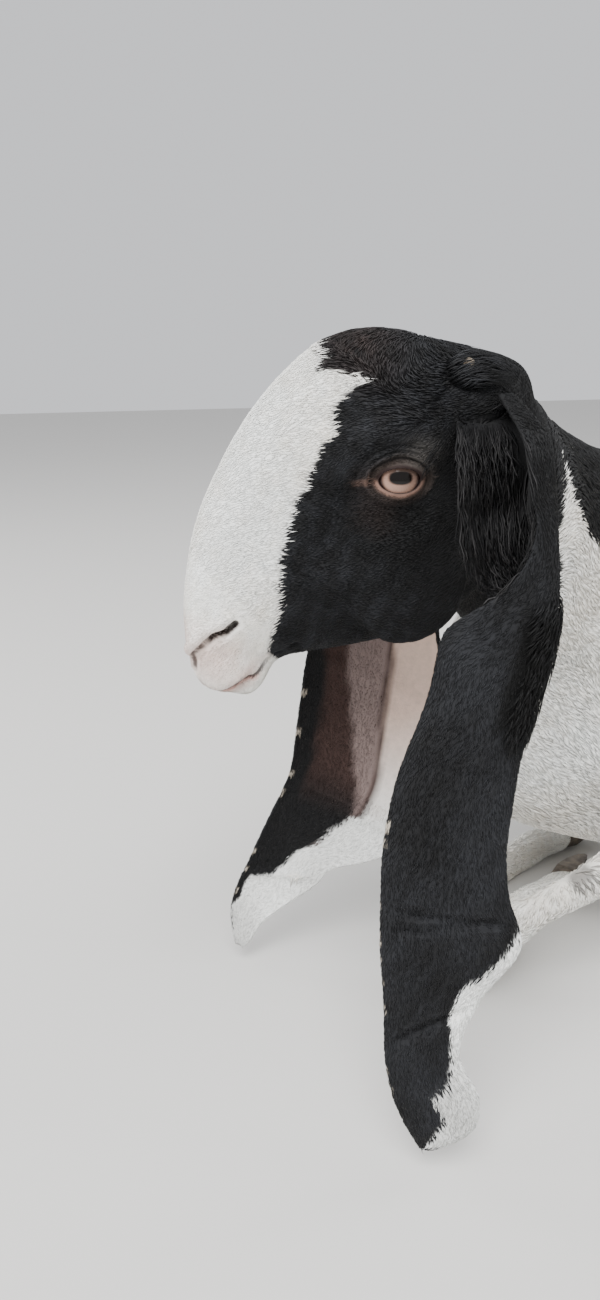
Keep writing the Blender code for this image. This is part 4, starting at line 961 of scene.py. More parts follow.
# Black crown and nape, in sums and differences of the head's two main axes, and how
# much of such a sum is a distance. Then the rear border of the black cheek.
SLANT = 0.66
CROWN_REAR = -0.0516
NAPE_WIDER = 0.01
NAPE_FRONT = (
    (-0.148, -0.143), (-0.1334, -0.1193), (-0.116, -0.1066), (-0.1058, -0.0967),
    (-0.071, -0.0867), (-0.0516, -0.0843))
NAPE_LOW = (
    (-0.275, -0.092), (-0.23, -0.116), (-0.185, -0.136), (-0.1593, -0.1446), (-0.143, -0.1475))
CHEEK_REAR = (
    (-0.2, 0.01), (-0.16, -0.052), (-0.127, -0.074), (-0.099, -0.078), (-0.0707, -0.079),
    (-0.0516, -0.084))
# White lower end of each ear: share of the depth where it starts, by share of the length.
NEAR_WHITE = (
    (0.685, 1), (0.71, 0.9), (0.725, 0.86), (0.75, 0.8), (0.757, 0.71), (0.787, 0.72),
    (0.81, 0.74), (0.835, 0.85), (0.87, 0.86), (0.895, 0.71), (0.905, 0.6), (0.92, 0.42),
    (0.925, 0.52), (0.945, 0.57), (0.955, 0.48), (0.967, 0.4), (0.985, 0.3), (1, 0.25))
FAR_WHITE = (
    (0.64, 1), (0.68, 0.57), (0.715, 0.52), (0.745, 0.6), (0.77, 0.5), (0.797, 0.5),
    (0.825, 0.38), (0.84, 0.12), (0.86, 0.1), (0.89, 0.15), (0.91, 0), (1, 0))
# White flecks on the front rims of the ears: share of the length, half length.
NEAR_FLECKS = (
    (0.55, 0.008), (0.572, 0.003), (0.655, 0.002), (0.7, 0.007), (0.73, 0.003), (0.76, 0.005),
    (0.8, 0.003), (0.885, 0.003), (0.905, 0.003))
FAR_FLECKS = (
    (0.52, 0.004), (0.58, 0.007), (0.65, 0.004), (0.68, 0.004), (0.75, 0.006), (0.79, 0.004),
    (0.83, 0.005), (0.88, 0.004))


def along_rows(rows, at):
    """Values of a two-column table at given places."""
    table = np.array(rows)
    return np.interp(at, table[:, 0], table[:, 1])


class EarMap:
    """Finds the place of a point on the ears: which ear, how far down, how deep, which side."""

    def __init__(self):
        self.grids = []
        for name in EARS:
            grid, along, depth, _ = ear_sheet(name, EAR_DOWN, EAR_ROUND)
            normals = sheet_normals(grid, EARS[name][2])
            sheet = (grid.reshape(-1, 3), normals.reshape(-1, 3), along.ravel(), depth.ravel(),
                     np.gradient(grid, axis=0).reshape(-1, 3))
            tree = KDTree(len(sheet[0]))
            for i, point in enumerate(sheet[0]):
                tree.insert(point, i)
            tree.balance()
            self.grids.append((sheet, tree))

    def find(self, places, facing):
        """Ear number or -1, share of the length, share of the depth, outer side, way down."""
        ear = np.full(len(places), -1)
        along, depth = np.zeros(len(places)), np.zeros(len(places))
        outer = np.zeros(len(places), bool)
        down = np.zeros((len(places), 3))
        for number, (sheet, tree) in enumerate(self.grids):
            points, normals, shares, depths, ways = sheet
            low, high = points.min(axis=0) - EAR_MARGIN, points.max(axis=0) + EAR_MARGIN
            near = np.flatnonzero(((places > low) & (places < high)).all(axis=1))
            for i in near:
                _, index, distance = tree.find(places[i])
                if distance < EAR_TOUCH and shares[index] > EAR_FROM:
                    ear[i] = number
                    along[i], depth[i] = shares[index], depths[index]
                    outer[i] = facing[i] @ normals[index] > 0
                    down[i] = ways[index]
        return ear, along, depth, outer, down


def soft_edge(distance, soft):
    """0 on one side of a border and 1 on the other."""
    return np.clip(distance / soft + 0.5, 0, 1)


def layered(colour, *layers):
    """A colour with others laid over it in turn, each by its own share for each point."""
    for other, share in layers:
        share = np.clip(share, 0, 1)[:, None]
        colour = colour * (1 - share) + other * share
    return colour


def black_share(places, soft, jitter):
    """How black the coat is at each place, away from the ears."""
    local = head_local(places)
    s, y, t = local[:, 0] + jitter, local[:, 1], local[:, 2] + 0.6 * jitter
    p, q = s + t, t - s
    wave = 0.0006 * ripple(places, 0.01, SEED + 1)
    blaze = np.minimum((t - along_rows(BLAZE_EDGE, s)) * 0.85, s - along_rows(BLAZE_FRONT, y))
    white_face = np.maximum(blaze, s - WHITE_MUZZLE) + wave
    cheek = (p - along_rows(CHEEK_REAR, q)) * SLANT
    jaw = np.array(HEAD_ROWS)
    under = t - np.interp(s, jaw[:, 0], jaw[:, 2]) + 0.004
    front = np.where(s > 0.045, under, cheek)
    nape = np.minimum((along_rows(NAPE_FRONT, q) + NAPE_WIDER - p) * SLANT,
                      (q - along_rows(NAPE_LOW, p)) * SLANT)
    crown = (q - CROWN_REAR) * SLANT
    throat = THROAT_REACH - apart(local, THROAT)
    black = np.maximum(np.maximum(np.where(p > -0.085, front, -1.0), nape),
                       np.where(p > -0.3, crown, -1.0))
    black = np.maximum(black, throat) + 1.5 * wave
    return soft_edge(np.minimum(black, -white_face), soft)


def white_coat(places, local, lines):
    """The white of the coat, with the pink muzzle, painted shade in the nostrils, the mouth and low
    on the body, and one grey spot.
    """
    s = local[:, 0]
    cloud, fine = ripple(places, 0.09, SEED + 2), ripple(places, 0.011, SEED + 3)
    # Painted shade: the white turns cream low on the body, away from the light.
    low = step(places[:, 2], 0.16, 0.03) * step(s, 0.15, 0.05)
    nose, lips = (stroke_weight(local, *spot) for spot in (NOSE_SPOT, LIPS_SPOT))
    flat = np.array((1, 0.3, 1))

    def drawn(line, radius, start, end, above=0.0):
        """The share of a thin line, or of the skin just under it."""
        points = (local + np.array((0, 0, above))) * flat
        return step(stroke_weight(points, np.array(line) * flat, radius), start, end)

    slit, mouth = lines
    # Painted shade: dark in the nostrils, in the grooves below them and between the lips.
    nostril_shade = drawn(slit, 0.0025, 0.05, 0.5) * step(s, 0.1845, 0.179)
    groove = drawn(slit, 0.0019, 0.1, 0.7) * step(s, 0.1815, 0.184) * step(s, 0.1985, 0.196)
    lip = drawn(mouth, 0.0022, 0.1, 0.6, 0.0016) * step(s, 0.176, 0.182)
    mouth_shade = drawn(mouth, 0.002, 0.15, 0.75) * step(s, 0.166, 0.176)
    spot = step(apart(places, GREY_SPOT) + 0.002 * fine, 0.012, 0.005)
    return layered(WHITE, (CREAM, 0.22 + 0.22 * cloud + 0.1 * fine), (CREAM, 0.35 * low),
                   (PINK, np.minimum(0.55 * nose + 0.6 * lips, 0.75)),
                   (DARK, np.maximum(nostril_shade, 0.85 * groove)), (LIP_PINK, 0.7 * lip),
                   (DARK, 0.8 * mouth_shade), (GREY * 0.8, 0.8 * spot))


def black_coat(places, local):
    """The black of the coat, browner at the poll and before the eye, with the lids' tones and
    painted shade and highlight.
    """
    s, y, t = local.T
    fine = ripple(places, 0.011, SEED + 3)
    # Painted shade: the lower cheek, turned away from the light, gets a deeper black.
    cheek = step(t, 0.0, -0.03) * step(s, 0.115, 0.085)
    poll, before, tears = (stroke_weight(local, *spot)
                           for spot in (POLL_SPOT, FRONT_SPOT, TEAR_SPOT))
    u, v, rim = eye_plane(local)
    side = y > 0.02
    # A grey patch over the eye: the lid's own grey skin, made lighter by a painted highlight on its
    # fold.
    brow = bump(u, -0.008, 0.007) * bump(v, 0.01, 0.006)
    lower = step(v, 0.0015, -0.0015)
    # Painted shade in the folds over the upper lid.
    creases = sum(dark * bump(rim, place, UPPER_FOLDS[0][1])
                  for (place, _, _), dark in zip(UPPER_FOLDS, (1, 0.8, 0.6)))
    return layered(BLACK, (SHEEN_BLACK, 0.35 + 0.5 * fine), (SHADED_BLACK, 0.8 * cheek),
                   (BROWN, 0.5 * poll * (0.7 + 0.4 * fine)), (BROWN, 0.3 * before),
                   (LID_BROWN, 0.8 * step(rim, 0.008, 0.0025) * side),
                   (GREY, 0.42 * brow * side),
                   (SHADED_BLACK, np.minimum(0.8 * creases, 1) * step(v, 0.001, 0.004) * side),
                   (LID_PINK, 0.28 * step(tears, 0.1, 0.9)),
                   (LID_PINK, 0.85 * lower * bump(rim, 0.0013, 0.0011) * side),
                   (DARK, step(rim, 0.0007, 0.0001) * side),
                   (DARK, (1 - lower) * bump(rim, 0.0008, 0.0009) * side))


def body_colour(places, lines, soft, jitter):
    """The coat's colour away from the ears."""
    local = head_local(places)
    return layered(white_coat(places, local, lines),
                   (black_coat(places, local), black_share(places, soft, jitter)))


def ear_colour(places, ear, along, depth, outer, soft, jitter):
    """The colour of both sides of the ears."""
    fine, cloud = ripple(places, 0.012, SEED + 4), ripple(places, 0.05, SEED + 5)
    near = ear == 0
    rows = np.where(near, along_rows(NEAR_WHITE, along), along_rows(FAR_WHITE, along))
    start = np.where(near, 0.68, 0.65)
    white_end = np.minimum((depth - rows) * 0.045, (along - start) * 0.35) + jitter + 0.0006 * fine
    depth = depth + 0.012 * fine + 0.02 * cloud
    # Painted shade: a deeper black on the near ear's rolled rear rim, whose hair is black, and at
    # the rear of each ear's root.
    lobe = step(along, 0.25, 0.29) * step(along, 0.44, 0.4) * step(depth, 0.6, 0.68) * near
    root = step(along, 0.3, 0.1) * step(depth, 0.55, 0.75)
    black = layered(BLACK, (SHEEN_BLACK, 0.55 + 0.4 * cloud + 0.25 * fine), (SHADED_BLACK, lobe),
                    (SHADED_BLACK, 0.7 * root))
    strip = np.interp(along, (0.46, 0.6, 0.68), (0.32, 0.42, 0.56))
    pale = layered(EAR_PINK, (WHITE, step(along, 0.5, 0.72) + 0.15 * cloud))
    rim = np.maximum(step(depth, 0.2, 0.1), step(along, 0.6, 0.7))
    grey = step(depth, strip - 0.02, strip + 0.04) * step(depth, 0.64, 0.56)
    inner = layered(EAR_BROWN, (BLACK, rim), (EAR_GREY, grey),
                    (EAR_BROWN, 0.8 * bump(depth, 0.6, 0.018)), (pale, step(depth, 0.6, 0.66)),
                    (BLACK, step(along, 0.36, 0.31)))
    white = layered(WHITE, (GREY, 0.15 + 0.25 * cloud))
    tip = step(along, 0.988, 0.997) * near * (depth > 0.3)
    tick = bump(along, 0.325, 0.006) * bump(depth, 0.63, 0.014) * outer * near
    flecks = np.zeros(len(places))
    for number, rows in enumerate((NEAR_FLECKS, FAR_FLECKS)):
        for middle, half in rows:
            flecks += (ear == number) * bump(along, middle, half) * step(depth, 0.04, 0.01)
    return layered(np.where(outer[:, None], black, inner), (white, soft_edge(white_end, soft)),
                   (BLACK, tip), (CREAM, 0.6 * step(tick, 0.3, 0.7)),
                   (CREAM, 0.65 * step(flecks, 0.4, 0.7)))


def coat_colour(places, ears, lines, soft, jitter=0.0):
    """The coat's colour at each place."""
    ear, along, depth, outer, _ = ears
    colour = body_colour(places, lines, soft, jitter)
    on = ear >= 0
    if on.any():
        shift = jitter[on] if np.ndim(jitter) else jitter
        colour[on] = ear_colour(places[on], ear[on], along[on], depth[on], outer[on], soft, shift)
    return colour


def lie_of_coat(places, normals, ears):
    """The way the hair lies at each place, along the skin."""
    ear, _, _, _, down = ears
    local = head_local(places, fold=False)
    sign = np.clip(local[:, 1] / 0.006, -1, 1)
    matrix = np.array(HEAD_FRAME)[:3, :3]
    s, t = local[:, 0], local[:, 2]
    back = -0.55 - 0.35 * step(s, 0.17, 0.05)
    crown = step(s, 0.058, 0.03) * step(t, 0.005, 0.025)
    way = np.stack([back * (1 - crown) + 0.95 * crown, sign * (0.75 - 0.35 * crown),
                    -0.45 * step(np.abs(local[:, 1]), 0.012, 0.03)], 1) @ matrix.T
    near = step(apart(local, FACE_MIDDLE), 0.135, 0.105)
    side = np.clip(places[:, 1] / 0.015, -1, 1)
    trunk = np.stack([np.full(len(places), -0.75), 0.25 * side, -0.55 * np.ones(len(places))], 1)
    neck = np.array((-0.62, -0.12, -0.78))
    on_neck = step(places[:, 0], 0.235, 0.285)[:, None] * step(places[:, 2], 0.17, 0.22)[:, None]
    trunk = trunk * (1 - on_neck) + neck * on_neck
    way = trunk * (1 - near[:, None]) + way * near[:, None]
    low = step(places[:, 2], 0.1, 0.03)[:, None] * (1 - near[:, None])
    legs = np.zeros_like(way)
    legs[:, 0] = step(places[:, 0], 0.13, 0.17) * np.where(places[:, 2] < 0.026, -1.0, 0.8)
    legs[:, 0] += step(places[:, 0], -0.02, -0.06) * np.where(places[:, 2] < 0.024, 0.9, -0.8)
    legs[:, 2] = -0.3
    way = way * (1 - low) + legs * low
    on = ear >= 0
    way[on] = unit(down[on])
    way -= normals * (way * normals).sum(1, keepdims=True)
    return unit(way, 1e-6)


def coat_kinds(places, ears, lines):
    """Which kind of coat grows at each place, or none. Later rows win."""
    ear, along, depth, outer, _ = ears
    local = head_local(places)
    s, y, t = local.T
    x, _, z = places.T
    head = (apart(local, FACE_MIDDLE) < COAT_REACH) & (x > NECK_FROM)
    eye = head & (y > 0.02)
    inner = (ear >= 0) & ~outer
    _, _, rim = eye_plane(local)
    dock = [centre for centre, _, _ in TAIL_ROWS[1:]]
    kinds = np.full(len(places), "trunk", dtype="<U8")
    for kind, where in (
            ("neck", (x > 0.215) & (z > 0.11)), ("leg", z < 0.075), ("foot", z < 0.034),
            ("tail", (stroke_weight(places, dock, 0.026) > 0) & (x < -0.306)),
            ("face", head), ("poll", head & (s < 0.056) & (t > 0)),
            ("muzzle", head & (s > 0.16)), ("curl", head & (apart(local, HORN_PLACE) < 0.0095)),
            ("lid", eye & (rim < 0.005)), ("none", eye & (rim < 0.0022)),
            ("none", head & (stroke_weight(local, lines[0], 0.003) > 0)),
            ("none", head & (stroke_weight(local, lines[1], 0.0012) > 0)),
            ("none", z < 0.003), ("ear", (ear >= 0) & outer),
            ("lobe", (ear == 0) & outer & (along > 0.26) & (along < 0.43) & (depth > 0.8)),
            ("inner", inner), ("none", inner & (depth > 0.56) & (along < 0.64)),
            ("cup", inner & (along < 0.26)), ("none", inner & (along < 0.1) & (depth > 0.7))):
        kinds[where] = kind
    return kinds


def scattered(skin, ear_map, lines):
    """Roots of the tufts: places, normals and kinds, one draw for the whole skin."""
    mesh = skin.data
    mesh.calc_loop_triangles()
    count = len(mesh.loop_triangles)
    corners = np.empty(count * 3, np.int64)
    mesh.loop_triangles.foreach_get("vertices", corners)
    corners = corners.reshape(-1, 3)
    places, normals = mesh_points(mesh)
    triangle = places[corners]
    middle = triangle.mean(axis=1)
    facing = normals[corners].mean(axis=1)
    area = 0.5 * np.linalg.norm(np.cross(triangle[:, 1] - triangle[:, 0],
                                         triangle[:, 2] - triangle[:, 0]), axis=1)
    kinds = coat_kinds(middle, ear_map.find(middle, facing), lines)
    draw = np.random.default_rng(SEED)
    chosen = []
    for name, (share, *_) in {**COATS, "cup": LOCKS}.items():
        wanted = np.where(kinds == name, area / share, 0)
        total = np.cumsum(wanted)
        hits = np.arange(draw.random(), total[-1], 1.0)
        chosen.append(np.searchsorted(total, hits))
    chosen = np.concatenate(chosen)
    a, b = draw.random((2, len(chosen)))
    flip = a + b > 1
    a, b = np.where(flip, 1 - a, a), np.where(flip, 1 - b, b)
    weight = np.stack([1 - a - b, a, b], 1)[..., None]
    roots = (triangle[chosen] * weight).sum(1)
    ways = unit((normals[corners[chosen]] * weight).sum(1))
    return roots, ways, kinds[chosen]


def unwrapped(places, ears):
    """A place on an unwrap of the skin's own shape, one island for each part."""
    ear, along, depth, outer, _ = ears
    local = head_local(places, fold=False)
    turn = np.arctan2(local[:, 1], local[:, 2] + 0.02) / (2 * math.pi) + 0.5
    x, y, z = places.T
    around = np.arctan2(y, z - 0.13) / (2 * math.pi) + 0.5
    head = (apart(local, FACE_MIDDLE) < COAT_REACH) & (x > NECK_FROM)
    length = np.clip((x + UV_REAR) / UV_LONG, 0, 1)
    uv = np.stack([0.02 + 0.6 * length, 0.02 + 0.44 * around], 1)
    low = (z < 0.075) & ~head
    legs = np.stack([0.64 + 0.34 * length,
                     0.02 + 0.22 * (y > 0) + 0.2 * np.clip(np.abs(y) / 0.16, 0, 1)], 1)
    uv[low] = legs[low]
    face = np.stack([0.02 + 0.46 * np.clip((local[:, 0] + 0.05) / 0.26, 0, 1),
                     0.5 + 0.46 * turn], 1)
    uv[head] = face[head]
    sheet = np.stack([0.52 + 0.11 * (ear > 0) + 0.23 * ~outer + 0.1 * depth,
                      0.5 + 0.46 * along], 1)
    uv[ear >= 0] = sheet[ear >= 0]
    return uv


def store_colour(obj, colours):
    """Keep a colour on each vertex."""
    stored = np.ones((len(obj.data.vertices), 4), np.float32)
    stored[:, :3] = colours.reshape(-1, 3)
    attribute = obj.data.color_attributes.new("coat", "FLOAT_COLOR", "POINT")
    attribute.data.foreach_set("color", stored.ravel())


def coat_piece(name, points, faces, colours, patch, uv, material, group):
    """One mesh of equal small forms. Patch: where the points of one lie on its bit of unwrap."""
    count, size = points.shape[:2]
    corners = (faces[None] + size * np.arange(count)[:, None, None]).ravel()
    mesh = bpy.data.meshes.new(name)
    mesh.vertices.add(count * size)
    mesh.vertices.foreach_set("co", np.ascontiguousarray(points, np.float32).ravel())
    mesh.loops.add(len(corners))
    mesh.loops.foreach_set("vertex_index", corners.astype(np.int32))
    mesh.polygons.add(len(corners) // 3)
    mesh.polygons.foreach_set("loop_start", np.arange(0, len(corners), 3, np.int32))
    mesh.update(calc_edges=True)
    mesh.validate()
    obj = placed(name, mesh, group)
    store_colour(obj, np.broadcast_to(colours, (count, size, 3)))
    spread = (uv[:, None] + UV_PATCH * np.stack(patch, 1)[None]).reshape(-1, 2)
    layer = mesh.uv_layers.new(name="OFBake")
    layer.data.foreach_set("uv", spread[corners].astype(np.float32).ravel())
    dressed(obj, material)
    return obj


# One tuft: a corner at the root, three where it is widest and one at the tip.
TUFT_FACES = np.array(((0, 2, 1), (3, 2, 0), (1, 3, 0), (1, 2, 4), (2, 3, 4), (3, 1, 4)))
TUFT_WIDEST = 0.42
TUFT_REACH = np.array((0, TUFT_WIDEST, TUFT_WIDEST, TUFT_WIDEST, 1.0))
TUFT_ACROSS = np.array((0.0, 0.5, -0.5, 0.0, 0.0))
TUFT_HEIGHT = np.array((0.0, -0.08, -0.08, 0.24, 0.0))
TUFT_SUNK = 0.0003


def make_tufts(name, roots, normals, ways, sizes, colours, uv, tree, material, group):
    """One mesh of tufts that lie along the skin. Sizes: length, width, lift, sideways bend."""
    length, width, lift, bend = sizes.T[..., None]
    across = np.cross(normals, ways)
    reach = []
    for share, rise in ((TUFT_WIDEST, 0.8), (1.0, 1.0)):
        free = roots + ways * length * share + across * bend * length * share ** 2
        held, out = np.empty_like(free), np.empty_like(free)
        for i, point in enumerate(free):
            held[i], out[i], _, _ = tree.find_nearest(point)
        keep = np.linalg.norm(held - free, axis=1, keepdims=True) < 0.5 * length + 0.001
        reach.append(np.where(keep, held, free)
                     + np.where(keep, out, normals) * lift * length * rise)
    middle, tip = reach
    rings = np.stack([roots - normals * TUFT_SUNK] + [middle] * 3 + [tip], 1)
    points = (rings + (across * width)[:, None] * TUFT_ACROSS[None, :, None]
              + (normals * width)[:, None] * TUFT_HEIGHT[None, :, None])
    return coat_piece(name, points, TUFT_FACES, colours[:, None], (TUFT_ACROSS + 0.5, TUFT_REACH),
                      uv, material, group)


def make_locks(name, roots, normals, ways, along, uv, material, group):
    """Long wavy locks that fill the ear cups: free curves with a three-sided section."""
    _, length, width, lift, wave = LOCKS
    draw = np.random.default_rng(SEED + 21)
    count = len(roots)
    short = np.clip((0.3 - along) / 0.14, 0.3, 1.0)
    length = (length * draw.uniform(0.6, 1.2, count) * short)[:, None]
    lean = (lift * draw.uniform(0.4, 1.3, count) * (0.2 + 0.8 * step(along, 0.05, 0.1)))[:, None]
    turns, start = draw.uniform(0.7, 1.5, count), draw.uniform(0, 2 * math.pi, count)
    across = np.cross(normals, ways)
    shares = np.linspace(0, 1, LOCK_RINGS + 1)
    rings = []
    for share in shares:
        swing = np.sin(start + 2 * math.pi * turns * share) - np.sin(start)
        middle = (roots - normals * TUFT_SUNK + ways * length * (share ** 1.1)
                  + normals * length * lean * (share - 0.65 * share ** 2)
                  + across * (wave * swing * share)[:, None])
        thick = width * (1 - 0.85 * share ** 2)
        section = np.stack([across * thick / 2, -across * thick / 2, normals * thick * 0.4], 1)
        rings.append(middle[:, None] + section if share < 1 else middle[:, None])
    points = np.concatenate(rings, 1)
    last = 3 * (LOCK_RINGS - 1)
    faces = []
    for low in range(0, last, 3):
        for i in range(3):
            a, b = low + i, low + (i + 1) % 3
            faces += [(a, b, b + 3), (a, b + 3, a + 3)]
    faces += [(last + i, last + (i + 1) % 3, last + 3) for i in range(3)] + [(0, 2, 1)]
    tone = np.clip(draw.normal(0.1, 0.22, count), 0, 1)[:, None]
    reach = np.append(np.repeat(shares[:-1], 3), 1.0)
    light = (tone * (0.25 + 0.75 * reach))[..., None]
    patch = ((np.arange(len(reach)) % 3) / 2, reach)
    return coat_piece(name, points, np.array(faces)[:, ::-1],
                      LOCK_BLACK * (1 - light) + LOCK_GREY * light, patch, uv, material, group)


def grow_coat(skin, ear_map, lines, material, group):
    """All the tufts and locks, in pieces of limited size by part of the body."""
    roots, normals, kinds = scattered(skin, ear_map, lines)
    ears = ear_map.find(roots, normals)
    ways = lie_of_coat(roots, normals, ears)
    uv = unwrapped(roots, ears)
    cup = kinds == "cup"
    pieces = [make_locks("coat_cup", roots[cup], normals[cup], ways[cup], ears[1][cup], uv[cup],
                         material, group)]
    roots, normals, kinds, ways, uv = (row[~cup] for row in (roots, normals, kinds, ways, uv))
    ears = [row[~cup] for row in ears]
    draw = np.random.default_rng(SEED + 9)
    count = len(roots)
    swirl = ripple(roots, 0.02, SEED + 6) * 0.22 + draw.normal(size=count) * 0.1
    across = np.cross(normals, ways)
    ways = ways * np.cos(swirl)[:, None] + across * np.sin(swirl)[:, None]
    table = np.array([COATS[kind] for kind in kinds])
    spread = ((0.75, 1.2), (0.8, 1.2), (0.6, 1.5))
    sizes = [table[:, 1 + i] * draw.uniform(*limits, count) for i, limits in enumerate(spread)]
    sizes = np.stack(sizes + [draw.normal(size=count) * 0.1], 1)
    jitter = draw.normal(size=count) * 0.0006
    colours = coat_colour(roots, ears, lines, 1e-5, jitter)
    patches = 1 + 0.16 * ripple(roots, 0.03, SEED + 12)
    dark = colours.mean(axis=1) < 0.1
    colours *= (draw.uniform(0.9, 1.06, count) * np.where(dark, patches, 1))[:, None]
    tree = BVHTree.FromObject(skin, bpy.context.evaluated_depsgraph_get())
    for part, members in COAT_PARTS.items():
        chosen = np.flatnonzero(np.isin(kinds, members))
        order = chosen[np.argsort(roots[chosen] @ np.array((1.0, 0.35, 0.2)))]
        parts = max(1, math.ceil(len(order) / TUFTS_A_PIECE))
        for i, some in enumerate(np.array_split(order, parts)):
            rows = (row[some] for row in (roots, normals, ways, sizes, colours, uv))
            pieces.append(make_tufts(f"coat_{part}_{i + 1}", *rows, tree, material, group))
    return pieces


def dressed(obj, material):
    """Give the whole object one material and smooth shading."""
    obj.data.materials.clear()
    obj.data.materials.append(material)
    obj.data.polygons.foreach_set("material_index", np.zeros(len(obj.data.polygons), np.int32))
    obj.data.shade_smooth()


def new_material(name, rough, specular):
    """A material, its tree and its shader."""
    material = bpy.data.materials.new(name)
    material.use_nodes = True
    shader = material.node_tree.nodes["Principled BSDF"]
    shader.inputs["Roughness"].default_value = rough
    if specular is not None:
        shader.inputs["Specular IOR Level"].default_value = specular
    return material, material.node_tree, shader


def noise(tree, scale, detail):
    """Noise through the object's own space."""
    place = tree.nodes.new("ShaderNodeTexCoord")
    node = tree.nodes.new("ShaderNodeTexNoise")
    node.inputs["Scale"].default_value = scale
    node.inputs["Detail"].default_value = detail
    tree.links.new(place.outputs["Object"], node.inputs["Vector"])
    return node.outputs["Fac"]


def stored_colour(tree):
    """The colour kept on the vertices."""
    node = tree.nodes.new("ShaderNodeVertexColor")
    node.layer_name = "coat"
    return node.outputs["Color"]


def raise_by(tree, shader, height, strength, distance):
    """Bump the surface."""
    node = tree.nodes.new("ShaderNodeBump")
    node.inputs["Strength"].default_value = strength
    node.inputs["Distance"].default_value = distance
    tree.links.new(height, node.inputs["Height"])
    tree.links.new(node.outputs["Normal"], shader.inputs["Normal"])


def coat_material(name, rough, bump_scale, bump_strength):
    """Coat whose colour is the stored markings, with fine hair as bump."""
    material, tree, shader = new_material(name, rough, 0.22)
    shade = tree.nodes.new("ShaderNodeMapRange")
    shade.inputs["To Min"].default_value = 0.8
    shade.inputs["To Max"].default_value = 1.16
    tree.links.new(noise(tree, 320, 3), shade.inputs["Value"])
    tint = tree.nodes.new("ShaderNodeVectorMath")
    tint.operation = "SCALE"
    tree.links.new(stored_colour(tree), tint.inputs[0])
    tree.links.new(shade.outputs["Result"], tint.inputs["Scale"])
    tree.links.new(tint.outputs["Vector"], shader.inputs["Base Color"])
    raise_by(tree, shader, noise(tree, bump_scale, 4), bump_strength, 0.0006)
    return material


def colour_skin(skin, ear_map, lines):
    """Store the markings, with their painted shade and highlight, on the skin."""
    places, normals = mesh_points(skin.data)
    store_colour(skin, coat_colour(places, ear_map.find(places, normals), lines, 0.0022))


def build_eye(name, sign, group):
    """One eye: a ball in its stored colours, its rings close together over the iris."""
    bm = bmesh.new()
    bmesh.ops.create_uvsphere(bm, u_segments=96, v_segments=60, radius=EYE_RADIUS)
    for vertex in bm.verts:
        angle = math.acos(max(-1, min(1, vertex.co.z / EYE_RADIUS)))
        spin = math.atan2(vertex.co.y, vertex.co.x)
        angle = math.pi * (angle / math.pi) ** EYE_RING_POWER
        vertex.co = EYE_RADIUS * Vector((math.sin(angle) * math.cos(spin),
                                         math.sin(angle) * math.sin(spin), math.cos(angle)))
    turn = Matrix.Rotation(-sign * math.radians(90), 4, "X")
    bmesh.ops.transform(bm, matrix=turn, verts=bm.verts)
    layer = bm.verts.layers.float_color.new("coat")
    for vertex in bm.verts:
        s, side, t = np.array(vertex.co)
        vertex[layer] = (*eye_shade(s, t, side * sign), 1.0)
    place = Matrix.Translation(on_side(EYE_CENTRE, sign))
    bmesh.ops.transform(bm, matrix=HEAD_FRAME @ place, verts=bm.verts)
    return built(name, bm, group)


def eye_shade(s, t, out):
    """The colour of the eye at a point of its ball: level pupil, iris in the painted shade of the
    upper lid, dark rim.
    """
    if out < 0:
        return DARK
    u, v = along_slit(s, t)
    v -= PUPIL_RAISED
    pupil = ((abs(u) / PUPIL_HALF_LONG) ** PUPIL_POWER
             + (abs(v) / PUPIL_HALF_HIGH) ** PUPIL_POWER) ** (1 / PUPIL_POWER)
    far, angle = math.hypot(u, v), math.atan2(v, u)
    ray = math.sin(31 * angle) + math.sin(47 * angle + 1) + math.sin(73 * angle + 2)
    # Painted shade of the upper lid: the iris darker towards its top and rear, lighter towards its
    # front and bottom.
    lit = max(0.0, min(1.0, 0.4 + 95 * (0.55 * u - v) + 0.05 * ray))
    iris = IRIS_SHADED * (1 - lit) + IRIS_TAN * lit
    open_share = step(pupil, 0.9, 1.18)
    edge = step(far, *IRIS_EDGE)
    return (PUPIL * (1 - open_share) + iris * open_share) * (1 - edge) + DARK * edge


def eye_material():
    """A wet eye in its stored colours."""
    material, tree, shader = new_material("eye", 0.1, 0.25)
    tree.links.new(stored_colour(tree), shader.inputs["Base Color"])
    return material


def horn_material(name, pale, dark, scale):
    """Horn with soft bands and a fine grain."""
    material, tree, shader = new_material(name, 0.45, 0.35)
    grain = noise(tree, scale, 4)
    tone = tree.nodes.new("ShaderNodeValToRGB")
    for element, colour, place in zip(tone.color_ramp.elements, (dark, pale), (0.3, 0.7)):
        element.color = (*colour, 1)
        element.position = place
    tree.links.new(grain, tone.inputs["Fac"])
    tree.links.new(tone.outputs["Color"], shader.inputs["Base Color"])
    raise_by(tree, shader, grain, 0.4, 0.0004)
    return material


def finish_horn(nodes):
    """Give the horn buds and the claws, whose shapes are the solids' own, their materials."""
    horn = horn_material("horn", *HORN_LOOK)
    claw = horn_material("claw", *CLAW_LOOK)
    for name, obj in nodes.items():
        if name.startswith(("horn", "claw")):
            for slot in obj.material_slots:
                slot.material = horn if name.startswith("horn") else claw


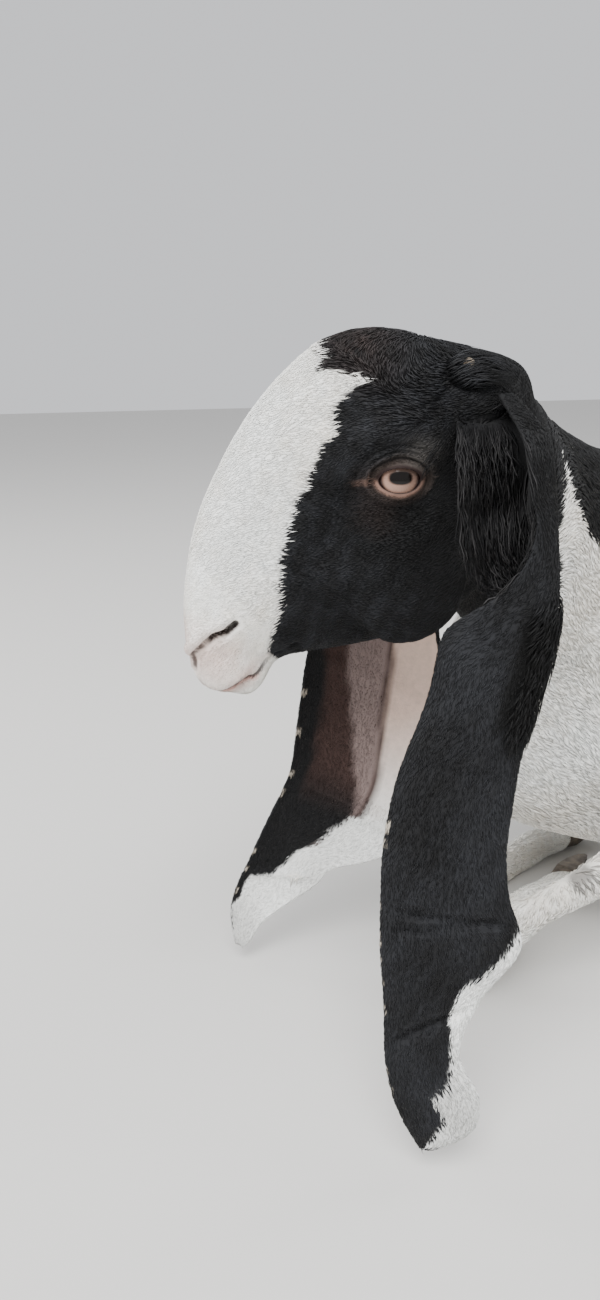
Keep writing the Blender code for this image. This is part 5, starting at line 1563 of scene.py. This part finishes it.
def camera_and_stage(shift, group):
    """The photograph's camera, a pale floor and soft lights."""
    data = bpy.data.cameras.new("camera")
    data.lens = CAMERA_LENS
    data.sensor_width = SENSOR
    data.clip_start = 0.01
    camera = placed("camera", data, group)
    level = Vector((-math.sin(CAMERA_TURN), -math.cos(CAMERA_TURN), 0))
    right = Vector((-math.cos(CAMERA_TURN), math.sin(CAMERA_TURN), 0))
    ahead = level * math.cos(CAMERA_DOWN) - Vector((0, 0, math.sin(CAMERA_DOWN)))
    turn = Matrix((right, right.cross(ahead), -ahead)).transposed().to_4x4()
    camera.matrix_world = Matrix.Translation(CAMERA_PLACE + shift) @ turn
    bpy.context.scene.camera = camera
    corners = [(x * FLOOR_HALF, y * FLOOR_HALF, 0) for x, y in ((-1, -1), (1, -1), (1, 1), (-1, 1))]
    floor = new_mesh_object("floor", corners, [(0, 1, 2, 3)], group)
    paint, _, shader = new_material("floor", FLOOR_ROUGH, None)
    shader.inputs["Base Color"].default_value = FLOOR_COLOUR
    floor.data.materials.append(paint)
    for name, place, size, power in LIGHTS:
        lamp = bpy.data.lights.new(name, "AREA")
        lamp.size = size
        lamp.energy = power
        light = placed(name, lamp, group)
        light.location = place
        light.rotation_euler = (LIGHTS_AIM - Vector(place)).to_track_quat("-Z", "Y").to_euler()
    world = bpy.data.worlds.new("studio")
    world.use_nodes = True
    sky = world.node_tree.nodes["Background"]
    sky.inputs["Color"].default_value = SKY_COLOUR
    sky.inputs["Strength"].default_value = 1.0
    bpy.context.scene.world = world


FLESH = ("head", "neck", "torso", "tail", "ear_left", "ear_right", "foreleg_left",
         "foreleg_right", "hindleg_left", "hindleg_right")


def main():
    """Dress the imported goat."""
    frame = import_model()
    group = new_collection("looks")
    low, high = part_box("eye_left")
    eye = HEAD_FRAME @ Vector(EYE_CENTRE)
    shift = (Vector(low) + Vector(high)) / 2 - eye
    ear_map = EarMap()
    skin, lines = build_skin(group)
    colour_skin(skin, ear_map, lines)
    dressed(skin, coat_material("skin", *SKIN_LOOK))
    coat = grow_coat(skin, ear_map, lines, coat_material("tufts", *TUFT_LOOK), group)
    eyes = [build_eye(name, sign, group)
            for name, sign in (("eye_left_ball", 1), ("eye_right_ball", -1))]
    for ball in eyes:
        dressed(ball, eye_material())
    for piece in [skin] + coat + eyes:
        piece.data.transform(Matrix.Translation(shift))
        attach(piece, "root")
    finish_horn(frame["nodes"])
    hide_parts(*FLESH)
    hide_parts("eye_left")
    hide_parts("eye_right")
    camera_and_stage(shift, group)


main()
